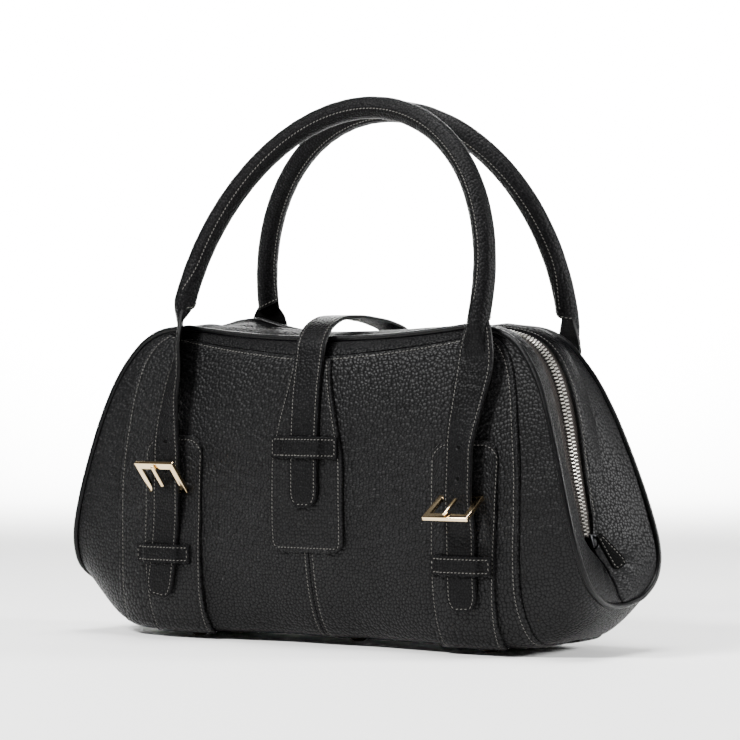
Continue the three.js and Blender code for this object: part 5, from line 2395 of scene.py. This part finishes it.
@dataclass
class Studio:
    """Pale paper, soft lights and the camera at the photo's angle."""

    azimuth: float = 33.0
    distance: float = 2.17
    height: float = 0.199
    aim: tuple[float, float, float] = (0.0063, 0.0041, 0.1853)
    lens: float = 154.1

    def build(self) -> None:
        """Builds the studio."""
        self.build_floor()
        self.build_camera()
        self.build_lights()

    def build_floor(self) -> None:
        """A wide sheet of paper that curves up far behind the bag."""
        width, depth, rise = 6.0, 6.0, 3.0
        turn = math.radians(-self.azimuth)
        profile = [(-depth, 0.0)]
        turns = np.linspace(0.0, math.pi / 2.0, 14)
        profile += [(2.0 + 1.2 * math.sin(t), 1.2 - 1.2 * math.cos(t)) for t in turns]
        profile.append((3.2, rise))
        points, faces = [], []
        for i, (far, up) in enumerate(profile):
            for across in (-width, width):
                x = across * math.cos(turn) + far * math.sin(turn)
                y = -across * math.sin(turn) + far * math.cos(turn)
                points.append((x / MM, y / MM, up / MM))
            if i:
                faces.append([2 * i - 2, 2 * i - 1, 2 * i + 1, 2 * i])
        floor = make_piece("studio_floor", np.array(points), faces, [Paper().material()], angle=80.0)

    def build_camera(self) -> None:
        """The camera, with a long lens and no blur."""
        data = bpy.data.cameras.new("camera")
        data.lens = self.lens
        data.sensor_width = 36.0
        camera = bpy.data.objects.new("camera", data)
        turn = math.radians(self.azimuth)
        camera.location = (self.distance * math.sin(turn), -self.distance * math.cos(turn), self.height)
        look = Vector(self.aim) - camera.location
        camera.rotation_euler = look.to_track_quat("-Z", "Y").to_euler()
        bpy.context.scene.collection.objects.link(camera)
        bpy.context.scene.camera = camera

    def build_lights(self) -> None:
        """A broad soft key from the upper left, a fill from the right and an even pale surround."""
        world = bpy.data.worlds.new("studio")
        world.use_nodes = True
        surround = world.node_tree.nodes["Background"]
        surround.inputs["Color"].default_value = (1.0, 1.0, 1.0, 1.0)
        surround.inputs["Strength"].default_value = 0.1
        bpy.context.scene.world = world
        self.add_light("key", (-0.6, -1.6, 1.7), (0.0, 0.0, 0.12), 0.5, 105.0)
        self.add_light("right", (2.0, 0.9, 0.9), (0.15, 0.0, 0.12), 0.6, 85.0)
        self.add_light("top", (0.1, 0.0, 2.2), (0.0, 0.0, 0.1), 1.0, 75.0)
        turn = math.radians(self.azimuth)
        behind = (-1.3 * math.sin(turn), 1.3 * math.cos(turn), 2.4)
        wall = (-3.2 * math.sin(turn), 3.2 * math.cos(turn), 0.5)
        self.add_light("backdrop", behind, wall, 1.5, 330.0, 80.0)

    def add_light(
        self,
        name: str,
        place: tuple[float, float, float],
        aim: tuple[float, float, float],
        size: float,
        power: float,
        spread: float = 180.0,
    ) -> None:
        """Adds one soft light.

        Args:
            name: Name of the light.
            place: Where it stands.
            aim: What it points at.
            size: Side of its square.
            power: Its power in watts.
            spread: Angle of its beam in degrees.
        """
        data = bpy.data.lights.new(name, "AREA")
        data.spread = math.radians(spread)
        data.energy = power
        data.size = size
        light = bpy.data.objects.new(name, data)
        light.location = place
        light.rotation_euler = (Vector(aim) - Vector(place)).to_track_quat("-Z", "Y").to_euler()
        bpy.context.scene.collection.objects.link(light)


def build_handles(form: BodyForm, finishes: Finishes) -> None:
    """Builds both handles with their straps.

    Args:
        form: The bag's skin.
        finishes: The finishes.
    """
    spans = {Face.FRONT: (119.5, 6.8, 19.0), Face.BACK: (122.0, 12.5, 10.0)}
    seams = {Face.FRONT: (-0.5, -1.3), Face.BACK: (0.0, 1.75)}
    feet = {
        Face.FRONT: {Side.LEFT: Foot(231.0, 13.0, 12.0, -5.0), Side.RIGHT: Foot(222.0)},
        Face.BACK: {Side.LEFT: Foot(231.0, flare=13.0), Side.RIGHT: Foot(222.0)},
    }
    twists = {
        (Face.FRONT, Side.LEFT): (
            (130, 0), (150, -12), (165, -25), (180, -33), (199, -47), (216, -54), (240, -50),
        ),
        (Face.FRONT, Side.RIGHT): (
            (80, 0), (103, -12), (135, -15), (152, -4), (166, 6), (190, -2), (218, -14),
        ),
        (Face.BACK, Side.LEFT): ((164, 0), (218, 8)),
        (Face.BACK, Side.RIGHT): ((168, 0), (195, -18), (218, -28)),
    }
    tilts = {
        (Face.FRONT, Side.LEFT): 49.0,
        (Face.FRONT, Side.RIGHT): -30.0,
        (Face.BACK, Side.LEFT): -34.0,
        (Face.BACK, Side.RIGHT): -40.0,
    }
    sewn = Thread()
    buckle = Buckle(finishes)
    for face in Face:
        handle = Handle(form, finishes, sewn, face, *spans[face], seams[face])
        tails = {}
        for side in Side:
            corner = (face, side)
            straps = StrapSet(
                form, finishes, sewn, face, side, handle, tilts[corner], twists[corner],
                feet[face][side], corner == (Face.FRONT, Side.LEFT), buckle,
            )
            straps.build()
            tails[side] = straps.tail()
        handle.build(tails, feet[face])
    discard(buckle.frame, buckle.prong)
    sewn.piece("handle_stitching", finishes.thread)


def main() -> None:
    """Builds the bag and the studio in order."""
    logging.basicConfig(level=logging.INFO, format="%(name)s: %(message)s")
    form = BodyForm()
    finishes = Finishes()
    body_thread = Thread()
    Shell(form, finishes, body_thread).build()
    body_thread.piece("body_stitching", finishes.thread)
    fine_thread = Thread(pitch=2.5, length=1.85)
    ZipRun(form, finishes, fine_thread).build()
    Closing(form, finishes, fine_thread).build()
    fine_thread.piece("closing_stitching", finishes.thread)
    build_handles(form, finishes)
    Feet(finishes).build()
    Studio().build()


if __name__ == "__main__":
    main()
